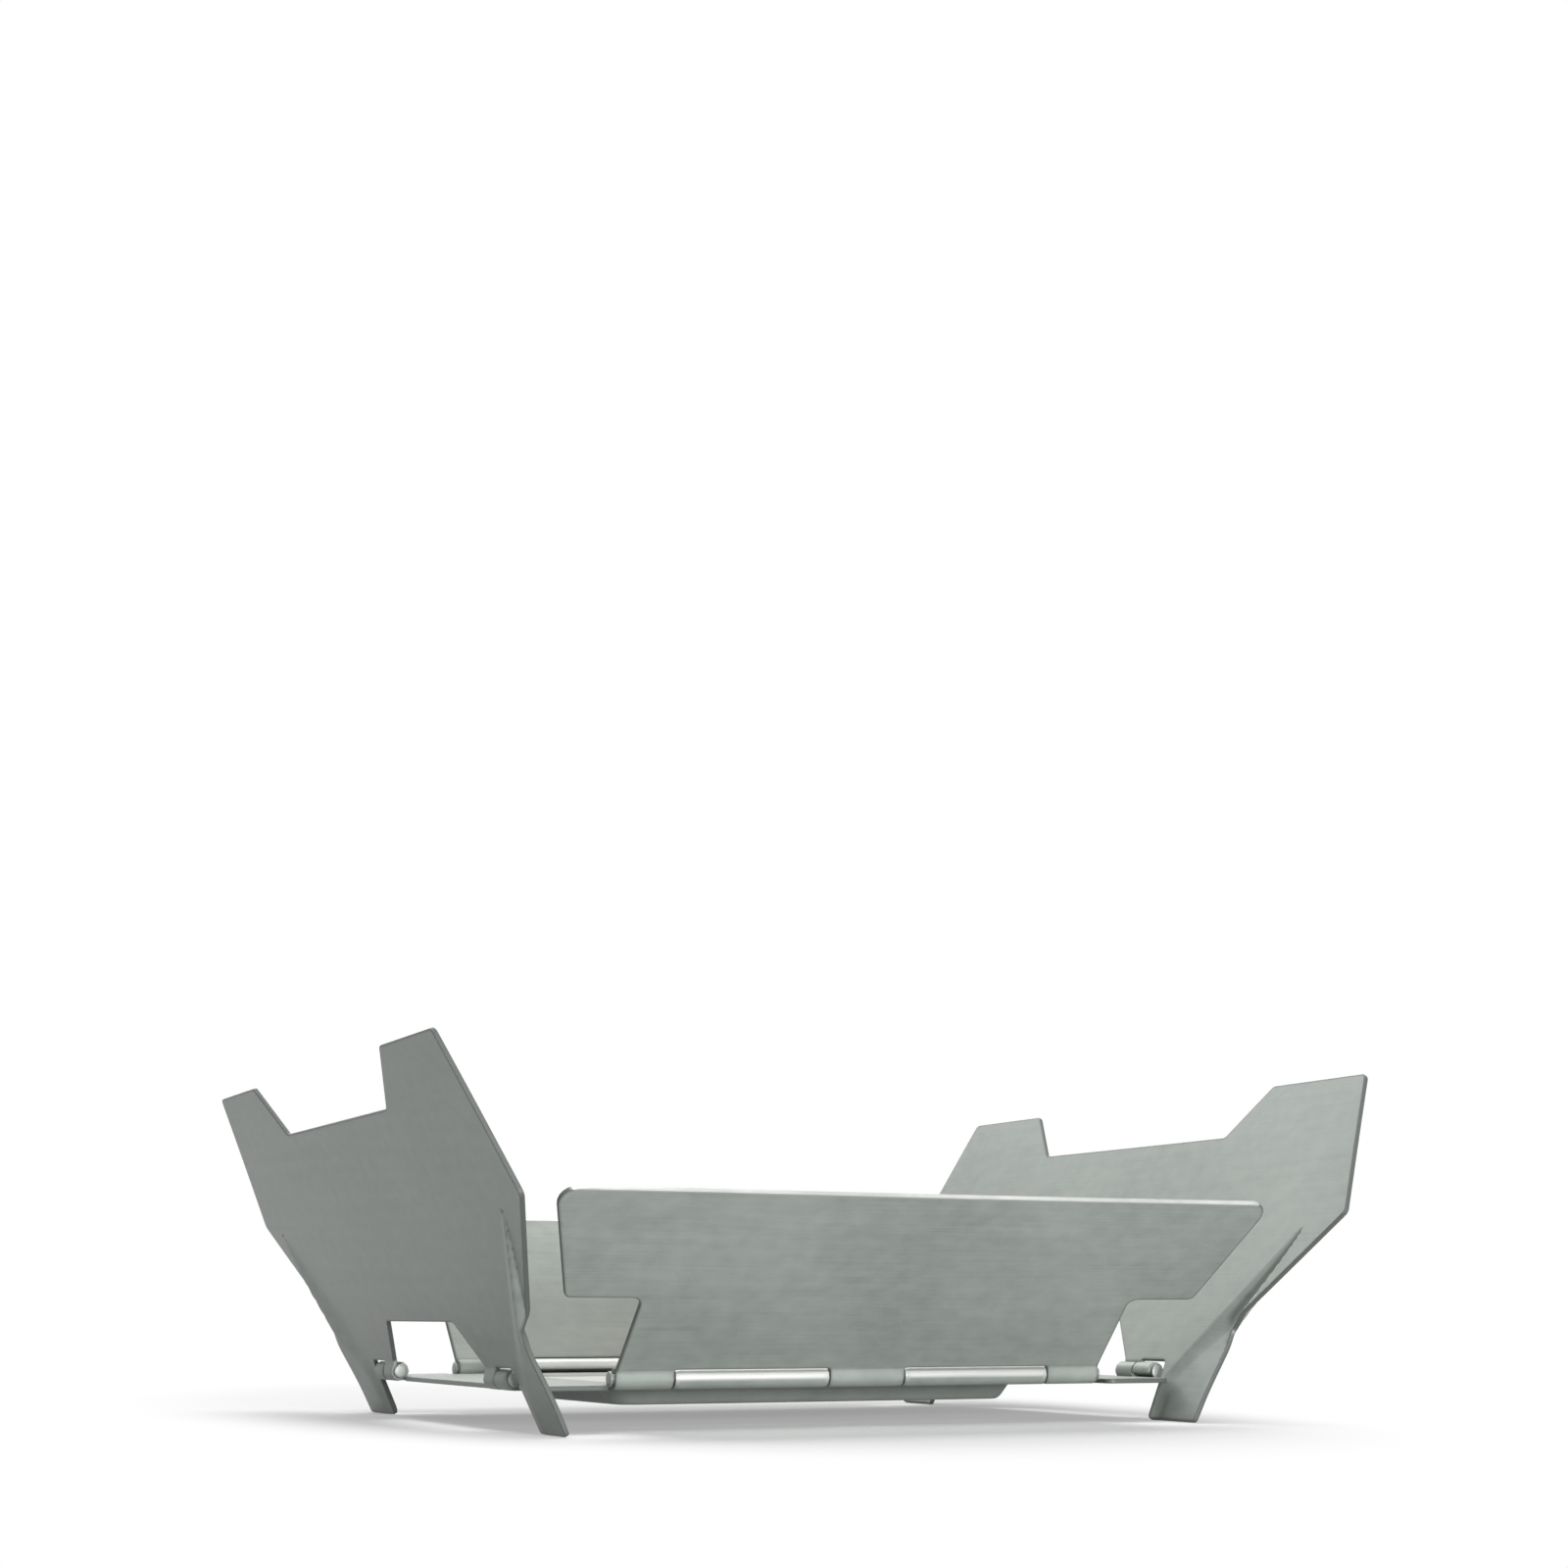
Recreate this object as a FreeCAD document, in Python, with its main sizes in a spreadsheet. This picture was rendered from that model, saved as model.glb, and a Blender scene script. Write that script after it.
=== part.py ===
"""Folding sheet-metal pocket stove: a base with a fuel well, two end wings on legs, two windshields."""
import FreeCAD, Part
import Sketcher
import math
import os

# Driving dimensions in millimetres and degrees: alias, value, meaning.
SIZES = (
    ("sheet", 0.6, "thickness of every pressed sheet"),
    ("pin_radius", 0.6, "radius of the hinge wire"),
    ("pin_clearance", 0.05, "radial running clearance of a knuckle on its pin"),
    ("pin_head_radius", 0.9, "radius of the peened pin ends"),
    ("pin_head", 0.4, "thickness of the peened pin ends"),
    ("knuckle_gap", 0.2, "end play between neighbouring knuckles"),
    ("relief", 0.3, "clearance of a cut edge round a knuckle"),
    ("hinge_height", 6.0, "height of all four hinge axes above the ground"),
    ("wing_axis", 44.0, "distance of a wing hinge axis from the centre"),
    ("shield_axis", 29.2, "distance of a windshield hinge axis from the centre"),
    ("wing_lean", 26.0, "outward lean of an open wing"),
    ("shield_lean", 42.8, "outward lean of an open windshield"),
    ("horn_outer", 50.0, "half width over the pot horns"),
    ("horn_inner", 30.4, "half width between the horn tips"),
    ("horn_height", 41.6, "horn tips above the hinge, along the wing"),
    ("notch_half", 23.2, "half width of the pot notch at its bottom"),
    ("notch_height", 34.3, "pot notch bottom above the hinge, along the wing"),
    ("elbow_half", 55.6, "half width of the wing at its widest"),
    ("elbow_height", 21.9, "widest place above the hinge, along the wing"),
    ("knee_half", 39.6, "half width where the leg begins"),
    ("knee_height", 6.5, "leg's beginning above the hinge, along the wing"),
    ("foot_outer", 38.7, "half width over the feet"),
    ("foot_inner", 29.1, "half width between the feet"),
    ("leg_root", 28.5, "half width between the legs at their roots"),
    ("window_top", 13.8, "half width of the wing window at its top"),
    ("window_bottom", 19.0, "half width of the wing window at the hinge"),
    ("window_height", 7.3, "height of the wing window above the hinge"),
    ("wing_knuckle", 3.8, "width of one wing knuckle"),
    ("end_knuckle", 3.8, "width of one base knuckle on a wing hinge"),
    ("wing_corner", 1.0, "corner radius of the wing outline"),
    ("dart_low_half", 31.6, "half distance of the darts' wide ends"),
    ("dart_low_height", 2.6, "height of the darts' wide ends above the hinge"),
    ("dart_top_half", 47.6, "half distance of the darts' pointed ends"),
    ("dart_top_height", 19.9, "height of the darts' pointed ends above the hinge"),
    ("dart_radius", 1.3, "inner radius of a dart at its wide end"),
    ("dart_tip_radius", 0.15, "inner radius of a dart at its pointed end"),
    ("shield_top", 47.4, "half width of a windshield at its top edge"),
    ("shield_height", 28.7, "windshield's top edge above the hinge, along the panel"),
    ("ear_half", 42.2, "half width over the ears at their lower edge"),
    ("ear_height", 12.8, "lower edge of the ears above the hinge, along the panel"),
    ("shield_neck", 32.8, "half width of a windshield below its ears"),
    ("shield_corner", 2.0, "radius of the windshield's top corners"),
    ("ear_corner", 1.0, "radius of the ears' lower corners and of the notch"),
    ("middle_knuckle", 5.0, "half width of the windshield's middle knuckle"),
    ("side_knuckle", 20.1, "width of one base knuckle on a windshield hinge"),
    ("end_setback", 0.4, "distance from the wing axis to the base's end edge"),
    ("lug_reach", 31.4, "distance of the corner lugs' outer edge from the centre line"),
    ("lug_corner", 1.0, "corner radius of the lugs"),
    ("stop_clearance", 0.05, "distance from a leg at rest to the lug that stops it"),
    ("well_half_length", 28.4, "half length of the fuel well at its mouth"),
    ("well_half_width", 18.2, "half width of the fuel well at its mouth"),
    ("well_depth", 2.2, "depth of the fuel well"),
    ("well_slope", 30.0, "slope of the well's walls from upright"),
    ("well_corner", 4.0, "corner radius of the well at its mouth"),
    ("tablet_margin", 0.5, "room between the tablet and the foot of the well's walls"),
    ("tablet_drop", 0.2, "tablet's top below the base's upper face"),
    ("tablet_chamfer", 0.4, "chamfer round the tablet's top"),
    ("tablet_corner", 2.2, "corner radius of the tablet"),
    ("score_width", 0.9, "width of the tablet's break lines"),
    ("score_depth", 0.6, "depth of the tablet's break lines"),
)
SCORE_LINES = 3

doc = FreeCAD.newDocument("folding_stove")
sheet = doc.addObject("Spreadsheet::Sheet", "Sizes")
for row, (alias, value, meaning) in enumerate(SIZES, start=1):
    sheet.set(f"A{row}", meaning)
    sheet.set(f"B{row}", str(value))
    sheet.setAlias(f"B{row}", alias)
doc.recompute()


def expr(text):
    """Write a formula on aliases as an expression on the sheet's cells."""
    names = sorted((alias for alias, _, _ in SIZES), key=len, reverse=True)
    words = []
    word = ""
    for letter in text + " ":
        if letter.isalnum() or letter == "_":
            word += letter
            continue
        words.append(f"Sizes.{word}" if word in names else word)
        words.append(letter)
        word = ""
    return "".join(words).strip()


def number(text):
    """Work out a formula on aliases from the sheet's cells."""
    value = sheet.evalExpression(expr(text))
    return float(getattr(value, "Value", value))


# Formulas that several pieces share.
BORE = "(pin_radius + pin_clearance)"
RING = f"({BORE} + sheet)"
CLEAR = f"({RING} + relief)"
WING_KNUCKLE_END = "(window_bottom + wing_knuckle)"
END_KNUCKLE_START = f"({WING_KNUCKLE_END} + knuckle_gap)"
END_KNUCKLE_END = f"({END_KNUCKLE_START} + end_knuckle)"
SIDE_KNUCKLE_START = "(middle_knuckle + knuckle_gap)"
SIDE_KNUCKLE_END = f"({SIDE_KNUCKLE_START} + side_knuckle)"
OUTER_KNUCKLE_START = f"({SIDE_KNUCKLE_END} + knuckle_gap)"
HEAD_ROOM = "(pin_head + 2 * knuckle_gap)"
LEG_FACE = f"({RING} * tan(wing_lean * 1 deg) + sheet / 2 / cos(wing_lean * 1 deg))"
LEG_STOP = f"(wing_axis - {LEG_FACE} - stop_clearance)"


def new_body(label):
    """Start a sub-part of its own."""
    body = doc.addObject("PartDesign::Body", label)
    body.Label = label
    return body


def attach(body, feature, role, offset=("0", "0", "0")):
    """Fix a sketch or primitive to one of its body's origin planes, moved by three formulas."""
    plane = next(item for item in body.Origin.OriginFeatures if item.Role == role)
    feature.AttachmentSupport = (plane, [""])
    feature.MapMode = "FlatFace"
    for axis, formula in zip("xyz", offset):
        if formula != "0":
            feature.setExpression(f"AttachmentOffset.Base.{axis}", expr(formula))


def place_point(sketch, line, axis, formula, point=1):
    """Tie a line's first point, or an arc's centre, to a signed distance from the sketch's origin."""
    if formula == "0":
        sketch.addConstraint(Sketcher.Constraint("PointOnObject", line, point, -2 if axis == "X" else -1))
        return
    negative = formula.startswith("-")
    size = formula[1:] if negative else formula
    ends = (line, point, -1, 1) if negative else (-1, 1, line, point)
    index = sketch.addConstraint(Sketcher.Constraint(f"Distance{axis}", *ends, number(size)))
    sketch.setExpression(f"Constraints[{index}]", expr(size))


def outline(body, name, role, corners, offset=("0", "0", "0")):
    """Draw a closed straight-sided outline through corners given as pairs of formulas."""
    sketch = body.newObject("Sketcher::SketchObject", name)
    attach(body, sketch, role, offset)
    points = [FreeCAD.Vector(number(across), number(up), 0) for across, up in corners]
    count = len(points)
    for index in range(count):
        sketch.addGeometry(Part.LineSegment(points[index], points[(index + 1) % count]), False)
    for index in range(count):
        sketch.addConstraint(Sketcher.Constraint("Coincident", index, 2, (index + 1) % count, 1))
    for index, (across, up) in enumerate(corners):
        place_point(sketch, index, "X", across)
        place_point(sketch, index, "Y", up)
    return sketch


def opposite(formula):
    """Turn a formula's sign."""
    if formula == "0":
        return formula
    return formula[1:] if formula.startswith("-") else f"-{formula}"


def both_sides(half):
    """Complete a half outline, drawn from its upper to its lower middle, with its mirror image."""
    return half + [(opposite(across), up) for across, up in reversed(half)]


def pad(body, name, sketch, length, symmetric=False, downwards=False, taper=None):
    """Give an outline its thickness."""
    feature = body.newObject("PartDesign::Pad", name)
    feature.Profile = sketch
    feature.setExpression("Length", expr(length))
    if symmetric:
        feature.SideType = "Symmetric"
    feature.Reversed = downwards
    if taper:
        feature.setExpression("TaperAngle", expr(taper))
    doc.recompute()
    return feature


def round_corners(body, name, feature, corners, radius, tolerance=0.01):
    """Round the edges that run through the thickness at the given corners."""
    places = [(number(across), number(up)) for across, up in corners]
    edges = []
    for index, edge in enumerate(feature.Shape.Edges, start=1):
        ends = [vertex.Point for vertex in edge.Vertexes]
        if len(ends) != 2 or abs(ends[0].z - ends[1].z) < tolerance:
            continue
        upper = max(ends, key=lambda end: end.z)
        lower = min(ends, key=lambda end: end.z)
        if any(math.hypot(end.x - x, end.y - y) < tolerance for x, y in places for end in (upper, lower)):
            edges.append(f"Edge{index}")
    fillet = body.newObject("PartDesign::Fillet", name)
    fillet.Base = (feature, edges)
    fillet.setExpression("Radius", expr(radius))
    doc.recompute()
    return fillet


def circles(body, name, role, centres, radius, start):
    """Draw equal circles along the first axis of an origin plane moved to a start."""
    sketch = body.newObject("Sketcher::SketchObject", name)
    attach(body, sketch, role, ("0", "0", start))
    for index, centre in enumerate(centres):
        spot = FreeCAD.Vector(number(centre), 0, 0)
        sketch.addGeometry(Part.Circle(spot, FreeCAD.Vector(0, 0, 1), number(radius)), False)
        place_point(sketch, index, "X", centre, 3)
        place_point(sketch, index, "Y", "0", 3)
        size = sketch.addConstraint(Sketcher.Constraint("Radius", index, number(radius)))
        sketch.setExpression(f"Constraints[{size}]", expr(radius))
    return sketch


def knuckles(body, name, role, centres, stretches, bore_length):
    """Roll knuckles round hinge axes over stretches given as start and length, and bore them for the pins."""
    for index, (start, length) in enumerate(stretches, start=1):
        ring = circles(body, f"{name}_round_{index}", role, centres, RING, start)
        pad(body, f"{name}_roll_{index}", ring, length)
    before = body.Shape.Volume
    bore = body.newObject("PartDesign::Pocket", f"{name}_bore")
    bore.Profile = circles(body, f"{name}_bore_round", role, centres, BORE, "0")
    bore.SideType = "Symmetric"
    bore.setExpression("Length", expr(bore_length))
    doc.recompute()
    if not bore.Shape.Volume < before:
        raise RuntimeError(f"the {name} knuckles are not bored")


def hinged(body, azimuth, axis, lean):
    """Stand a panel on its hinge axis: across along the axis, up along the panel, front outwards."""
    angle = math.radians(number(lean))
    across = FreeCAD.Vector(0, 1, 0)
    up = FreeCAD.Vector(math.sin(angle), 0, math.cos(angle))
    outwards = across.cross(up)
    tilt = FreeCAD.Rotation(across, up, outwards, "XYZ")
    turn = FreeCAD.Rotation(FreeCAD.Vector(0, 0, 1), azimuth)
    place = turn.multVec(FreeCAD.Vector(number(axis), 0, number("hinge_height")))
    body.Placement = FreeCAD.Placement(place, turn * tilt)


def dart(body, name, kind, side, skin):
    """Add or cut a stiffening dart that swells outwards from a pointed top to a round lower end."""
    rise = number("dart_top_height - dart_low_height")
    run = side * number("dart_top_half - dart_low_half")
    length = "sqrt((dart_top_half - dart_low_half)^2 + (dart_top_height - dart_low_height)^2)"
    low = "dart_low_half" if side > 0 else "-dart_low_half"
    offset = (low, "dart_low_height", "-sheet / 2")
    slope = body.newObject(f"PartDesign::{kind}Cone", f"{name}_slope")
    turn = FreeCAD.Rotation(FreeCAD.Vector(0, 0, 1), FreeCAD.Vector(run, rise, 0))
    slope.AttachmentOffset = FreeCAD.Placement(FreeCAD.Vector(), turn)
    attach(body, slope, "XY_Plane", offset)
    slope.setExpression("Radius1", expr(f"dart_radius + {skin}"))
    slope.setExpression("Radius2", expr(f"dart_tip_radius + {skin}"))
    slope.setExpression("Height", expr(length))
    end = body.newObject(f"PartDesign::{kind}Sphere", f"{name}_end")
    attach(body, end, "XY_Plane", offset)
    end.setExpression("Radius", expr(f"dart_radius + {skin}"))


def wing(label):
    """An end wing: horns and notch on top, window and knuckles at the hinge, legs below it."""
    body = new_body(label)
    foot = "-(hinge_height / cos(wing_lean * 1 deg) + sheet)"
    half = [
        ("notch_half", "notch_height"),
        ("horn_inner", "horn_height"),
        ("horn_outer", "horn_height"),
        ("elbow_half", "elbow_height"),
        ("knee_half", "knee_height"),
        ("foot_outer", foot),
        ("foot_inner", foot),
        ("leg_root", CLEAR),
        (WING_KNUCKLE_END, CLEAR),
        (WING_KNUCKLE_END, "0"),
        ("window_bottom", "0"),
        ("window_bottom", CLEAR),
        ("window_top", "window_height"),
    ]
    shape = outline(body, f"{label}_outline", "XY_Plane", both_sides(half))
    blank = pad(body, f"{label}_blank", shape, "sheet", symmetric=True)
    round_corners(body, f"{label}_corners", blank, both_sides(half[:5] + half[-1:]), "wing_corner")
    ends = (("near", -1), ("far", 1))
    for name, side in ends:
        dart(body, f"{label}_{name}_dart", "Additive", side, "sheet")
    flat = body.newObject("PartDesign::SubtractiveBox", f"{label}_inner_face")
    swell = "(dart_radius + 2 * sheet)"
    attach(body, flat, "XY_Plane", ("-elbow_half", "0", f"-({swell} + sheet / 2)"))
    flat.setExpression("Length", expr("2 * elbow_half"))
    flat.setExpression("Width", expr("horn_height"))
    flat.setExpression("Height", expr(swell))
    for name, side in ends:
        dart(body, f"{label}_{name}_hollow", "Subtractive", side, "0")
    stretches = [(f"-{WING_KNUCKLE_END}", "wing_knuckle"), ("window_bottom", "wing_knuckle")]
    knuckles(body, f"{label}_knuckles", "YZ_Plane", ["0"], stretches, f"2 * {WING_KNUCKLE_END}")
    ground = body.newObject("PartDesign::SubtractiveBox", f"{label}_soles")
    turn = FreeCAD.Rotation(FreeCAD.Vector(1, 0, 0), -number("wing_lean"))
    height = number("hinge_height")
    corner = turn.multVec(FreeCAD.Vector(-number("elbow_half"), -height, -height / 2))
    sole = FreeCAD.Vector(0, -number("hinge_height / cos(wing_lean * 1 deg)"), 0)
    ground.AttachmentOffset = FreeCAD.Placement(sole + corner, turn)
    attach(body, ground, "XY_Plane")
    ground.setExpression("Length", expr("2 * elbow_half"))
    ground.setExpression("Width", expr("hinge_height"))
    ground.setExpression("Height", expr("hinge_height"))
    return body


def windshield(label):
    """A side panel: ears that pass through the wing windows when it lies flat, knuckles at its hinge."""
    body = new_body(label)
    half = [
        ("shield_top", "shield_height"),
        ("ear_half", "ear_height"),
        ("shield_neck", "ear_height"),
        ("shield_neck", "0"),
        (OUTER_KNUCKLE_START, "0"),
        (OUTER_KNUCKLE_START, CLEAR),
        ("middle_knuckle", CLEAR),
        ("middle_knuckle", "0"),
    ]
    shape = outline(body, f"{label}_outline", "XY_Plane", both_sides(half))
    blank = pad(body, f"{label}_blank", shape, "sheet", symmetric=True)
    upper = round_corners(body, f"{label}_top", blank, both_sides(half[:1]), "shield_corner")
    round_corners(body, f"{label}_ears", upper, both_sides(half[1:3]), "ear_corner")
    outer = f"shield_neck - {OUTER_KNUCKLE_START}"
    stretches = [
        ("-shield_neck", outer),
        ("-middle_knuckle", "2 * middle_knuckle"),
        (OUTER_KNUCKLE_START, outer),
    ]
    knuckles(body, f"{label}_knuckles", "YZ_Plane", ["0"], stretches, "2 * shield_neck")
    return body


def twin(label, model):
    """Repeat a pressing as a piece of its own."""
    body = new_body(label)
    copy = body.newObject("PartDesign::FeatureBase", f"{label}_pressing")
    copy.BaseFeature = model
    body.Tip = copy
    return body


def four_quarters(quarter):
    """Complete a quarter outline, drawn from the right-hand middle to the rear middle."""
    right = [(across, opposite(along)) for across, along in reversed(quarter)] + quarter
    left = [(opposite(across), along) for across, along in reversed(right)]
    return right + left


def rounded_outline(body, name, half_length, half_width, radius, offset):
    """Draw a rectangle with rounded corners about the centre of the ground plan."""
    sketch = body.newObject("Sketcher::SketchObject", name)
    attach(body, sketch, "XY_Plane", offset)
    bend = number(radius)
    centres = four_quarters([(f"({half_length} - {radius})", f"({half_width} - {radius})")])
    spots = [FreeCAD.Vector(number(across), number(along), 0) for across, along in centres]
    for corner, spot in enumerate(spots):
        circle = Part.Circle(spot, FreeCAD.Vector(0, 0, 1), bend)
        start = (corner - 1) * math.pi / 2
        sketch.addGeometry(Part.ArcOfCircle(circle, start, start + math.pi / 2), False)
    for corner, spot in enumerate(spots):
        following = spots[(corner + 1) % 4]
        out = FreeCAD.Vector(math.cos(corner * math.pi / 2), math.sin(corner * math.pi / 2), 0) * bend
        sketch.addGeometry(Part.LineSegment(spot + out, following + out), False)
    for corner, (across, along) in enumerate(centres):
        sketch.addConstraint(Sketcher.Constraint("Tangent", corner, 2, 4 + corner, 1))
        sketch.addConstraint(Sketcher.Constraint("Tangent", 4 + corner, 2, (corner + 1) % 4, 1))
        place_point(sketch, corner, "X", across, 3)
        place_point(sketch, corner, "Y", along, 3)
        index = sketch.addConstraint(Sketcher.Constraint("Radius", corner, bend))
        sketch.setExpression(f"Constraints[{index}]", expr(radius))
    return sketch


def base_plate():
    """The base: flat sheet with notches for the panels' knuckles, its own knuckles, lugs and a fuel well."""
    body = new_body("base_plate")
    end_notch = f"(wing_axis - {CLEAR})"
    side_notch = f"(shield_axis - {CLEAR})"
    lug_foot = f"(shield_neck + {HEAD_ROOM} + knuckle_gap)"
    quarter = [
        ("(wing_axis - end_setback)", f"(window_bottom - {HEAD_ROOM})"),
        (end_notch, f"(window_bottom - {HEAD_ROOM})"),
        (end_notch, END_KNUCKLE_START),
        ("wing_axis", END_KNUCKLE_START),
        ("wing_axis", END_KNUCKLE_END),
        (end_notch, END_KNUCKLE_END),
        (end_notch, f"({END_KNUCKLE_END} + {HEAD_ROOM})"),
        (LEG_STOP, f"({END_KNUCKLE_END} + {HEAD_ROOM})"),
        (LEG_STOP, "lug_reach"),
        (lug_foot, "lug_reach"),
        (lug_foot, side_notch),
        (SIDE_KNUCKLE_END, side_notch),
        (SIDE_KNUCKLE_END, "shield_axis"),
        (SIDE_KNUCKLE_START, "shield_axis"),
        (SIDE_KNUCKLE_START, side_notch),
    ]
    underside = ("0", "0", f"-{RING}")
    plan = outline(body, "base_outline", "XY_Plane", four_quarters(quarter), underside)
    blank = pad(body, "base_blank", plan, "sheet")
    round_corners(body, "base_lugs", blank, four_quarters(quarter[8:10]), "lug_corner")
    wall = "sheet * (1 / cos(well_slope * 1 deg) - tan(well_slope * 1 deg))"
    mouth = (f"(well_half_length + {wall})", f"(well_half_width + {wall})", f"(well_corner + {wall})")
    skin = rounded_outline(body, "well_skin_outline", *mouth, underside)
    pad(body, "well_skin", skin, "well_depth", downwards=True, taper="-well_slope")
    before = body.Shape.Volume
    cut = body.newObject("PartDesign::Pocket", "well_hollow")
    mouth = ("well_half_length", "well_half_width", "well_corner")
    cut.Profile = rounded_outline(body, "well_outline", *mouth, ("0", "0", f"-{BORE}"))
    cut.setExpression("Length", expr("well_depth"))
    cut.setExpression("TaperAngle", expr("-well_slope"))
    doc.recompute()
    if not cut.Shape.Volume < before:
        raise RuntimeError("the fuel well is not hollow")
    axes = ["-shield_axis", "shield_axis"]
    stretches = [(f"-{SIDE_KNUCKLE_END}", "side_knuckle"), (SIDE_KNUCKLE_START, "side_knuckle")]
    knuckles(body, "base_side", "YZ_Plane", axes, stretches, f"2 * {SIDE_KNUCKLE_END}")
    axes = ["-wing_axis", "wing_axis"]
    stretches = [(f"-{END_KNUCKLE_END}", "end_knuckle"), (END_KNUCKLE_START, "end_knuckle")]
    knuckles(body, "base_end", "XZ_Plane", axes, stretches, f"2 * {END_KNUCKLE_END}")
    body.setExpression("Placement.Base.z", expr("hinge_height"))
    return body


def hinge_pin(label, half_length, across, along, quarter_turns):
    """A hinge wire with both ends peened over."""
    body = new_body(label)
    tip = f"({half_length} + pin_head)"
    profile = [
        (tip, "0"),
        (tip, "pin_head_radius"),
        (half_length, "pin_head_radius"),
        (half_length, "pin_radius"),
    ]
    sketch = outline(body, f"{label}_profile", "XY_Plane",
                     profile + [(opposite(reach), radius) for reach, radius in reversed(profile)])
    turned = body.newObject("PartDesign::Revolution", f"{label}_wire")
    turned.Profile = sketch
    turned.ReferenceAxis = (sketch, ["H_Axis"])
    turned.Angle = 360
    turn = FreeCAD.Rotation(FreeCAD.Vector(0, 0, 1), 90 * quarter_turns)
    place = FreeCAD.Vector(number(across), number(along), number("hinge_height"))
    body.Placement = FreeCAD.Placement(place, turn)
    return body


def fuel_tablet():
    """A pressed fuel tablet on the floor of the well, with break lines across its top."""
    body = new_body("fuel_tablet")
    inset = "(well_depth * tan(well_slope * 1 deg) + tablet_margin)"
    half_length = f"(well_half_length - {inset})"
    half_width = f"(well_half_width - {inset})"
    thickness = "(well_depth - tablet_drop)"
    floor = ("0", "0", f"-({BORE} + well_depth)")
    plan = rounded_outline(body, "tablet_outline", half_length, half_width, "tablet_corner", floor)
    rounded = pad(body, "tablet_block", plan, thickness)
    top = max(rounded.Shape.Faces, key=lambda face: face.CenterOfMass.z)
    rim = [f"Edge{index}" for index, edge in enumerate(rounded.Shape.Edges, start=1)
           if any(edge.isSame(other) for other in top.Edges)]
    chamfer = body.newObject("PartDesign::Chamfer", "tablet_rim")
    chamfer.Base = (rounded, rim)
    chamfer.setExpression("Size", expr("tablet_chamfer"))
    for line in range(SCORE_LINES):
        share = (line + 1) / (SCORE_LINES + 1)
        groove = body.newObject("PartDesign::SubtractiveBox", f"tablet_score_{line + 1}")
        across = f"({half_length} * {2 * share - 1} - score_width / 2)"
        bottom = f"-({BORE} + tablet_drop + score_depth)"
        attach(body, groove, "XY_Plane", (across, opposite(half_width), bottom))
        groove.setExpression("Length", expr("score_width"))
        groove.setExpression("Width", expr(f"2 * {half_width}"))
        groove.setExpression("Height", expr("score_depth"))
    body.setExpression("Placement.Base.z", expr("hinge_height"))
    return body


right_wing = wing("right_wing")
left_wing = twin("left_wing", right_wing)
rear_windshield = windshield("rear_windshield")
front_windshield = twin("front_windshield", rear_windshield)
doc.recompute()
hinged(right_wing, 0, "wing_axis", "wing_lean")
hinged(rear_windshield, 90, "shield_axis", "shield_lean")
hinged(left_wing, 180, "wing_axis", "wing_lean")
hinged(front_windshield, 270, "shield_axis", "shield_lean")
pieces = [
    base_plate(),
    right_wing,
    left_wing,
    rear_windshield,
    front_windshield,
    hinge_pin("rear_hinge_pin", "(shield_neck + knuckle_gap)", "0", "shield_axis", 0),
    hinge_pin("front_hinge_pin", "(shield_neck + knuckle_gap)", "0", "-shield_axis", 0),
]
END_PIN_HALF = f"(({END_KNUCKLE_END} - window_bottom) / 2 + knuckle_gap)"
END_PIN_PLACE = f"(({END_KNUCKLE_END} + window_bottom) / 2)"
for end, across in (("left", "-wing_axis"), ("right", "wing_axis")):
    for side, along in (("front", f"-{END_PIN_PLACE}"), ("rear", END_PIN_PLACE)):
        pieces.append(hinge_pin(f"{end}_{side}_hinge_pin", END_PIN_HALF, across, along, 1))
pieces.append(fuel_tablet())

doc.recompute()
for item in doc.Objects:
    faults = {"Invalid", "Error"} & set(item.State)
    if faults:
        raise RuntimeError(f"{item.Label} failed: {sorted(faults)}")
for piece in pieces:
    shape = piece.Shape
    if shape.isNull() or not shape.isValid() or len(shape.Solids) != 1:
        raise RuntimeError(f"{piece.Label} is not one sound solid")

os.makedirs("parts", exist_ok=True)
for piece in pieces:
    piece.Shape.exportStep(os.path.join("parts", f"{piece.Label}.step"))
    box = piece.Shape.BoundBox
    print(f"{piece.Label}: {box.XLength:.2f} x {box.YLength:.2f} x {box.ZLength:.2f} mm, "
          f"{piece.Shape.Volume:.1f} mm3")
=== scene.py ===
"""Folding pocket stove: sheets rolled and pressed from their flat blanks, in a plain pale studio."""
import logging
import math
from dataclasses import dataclass, field
from enum import Enum
from typing import Any, ClassVar, Sequence, Union

import bpy
import numpy as np
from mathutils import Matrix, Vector
from mathutils.geometry import delaunay_2d_cdt

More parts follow.
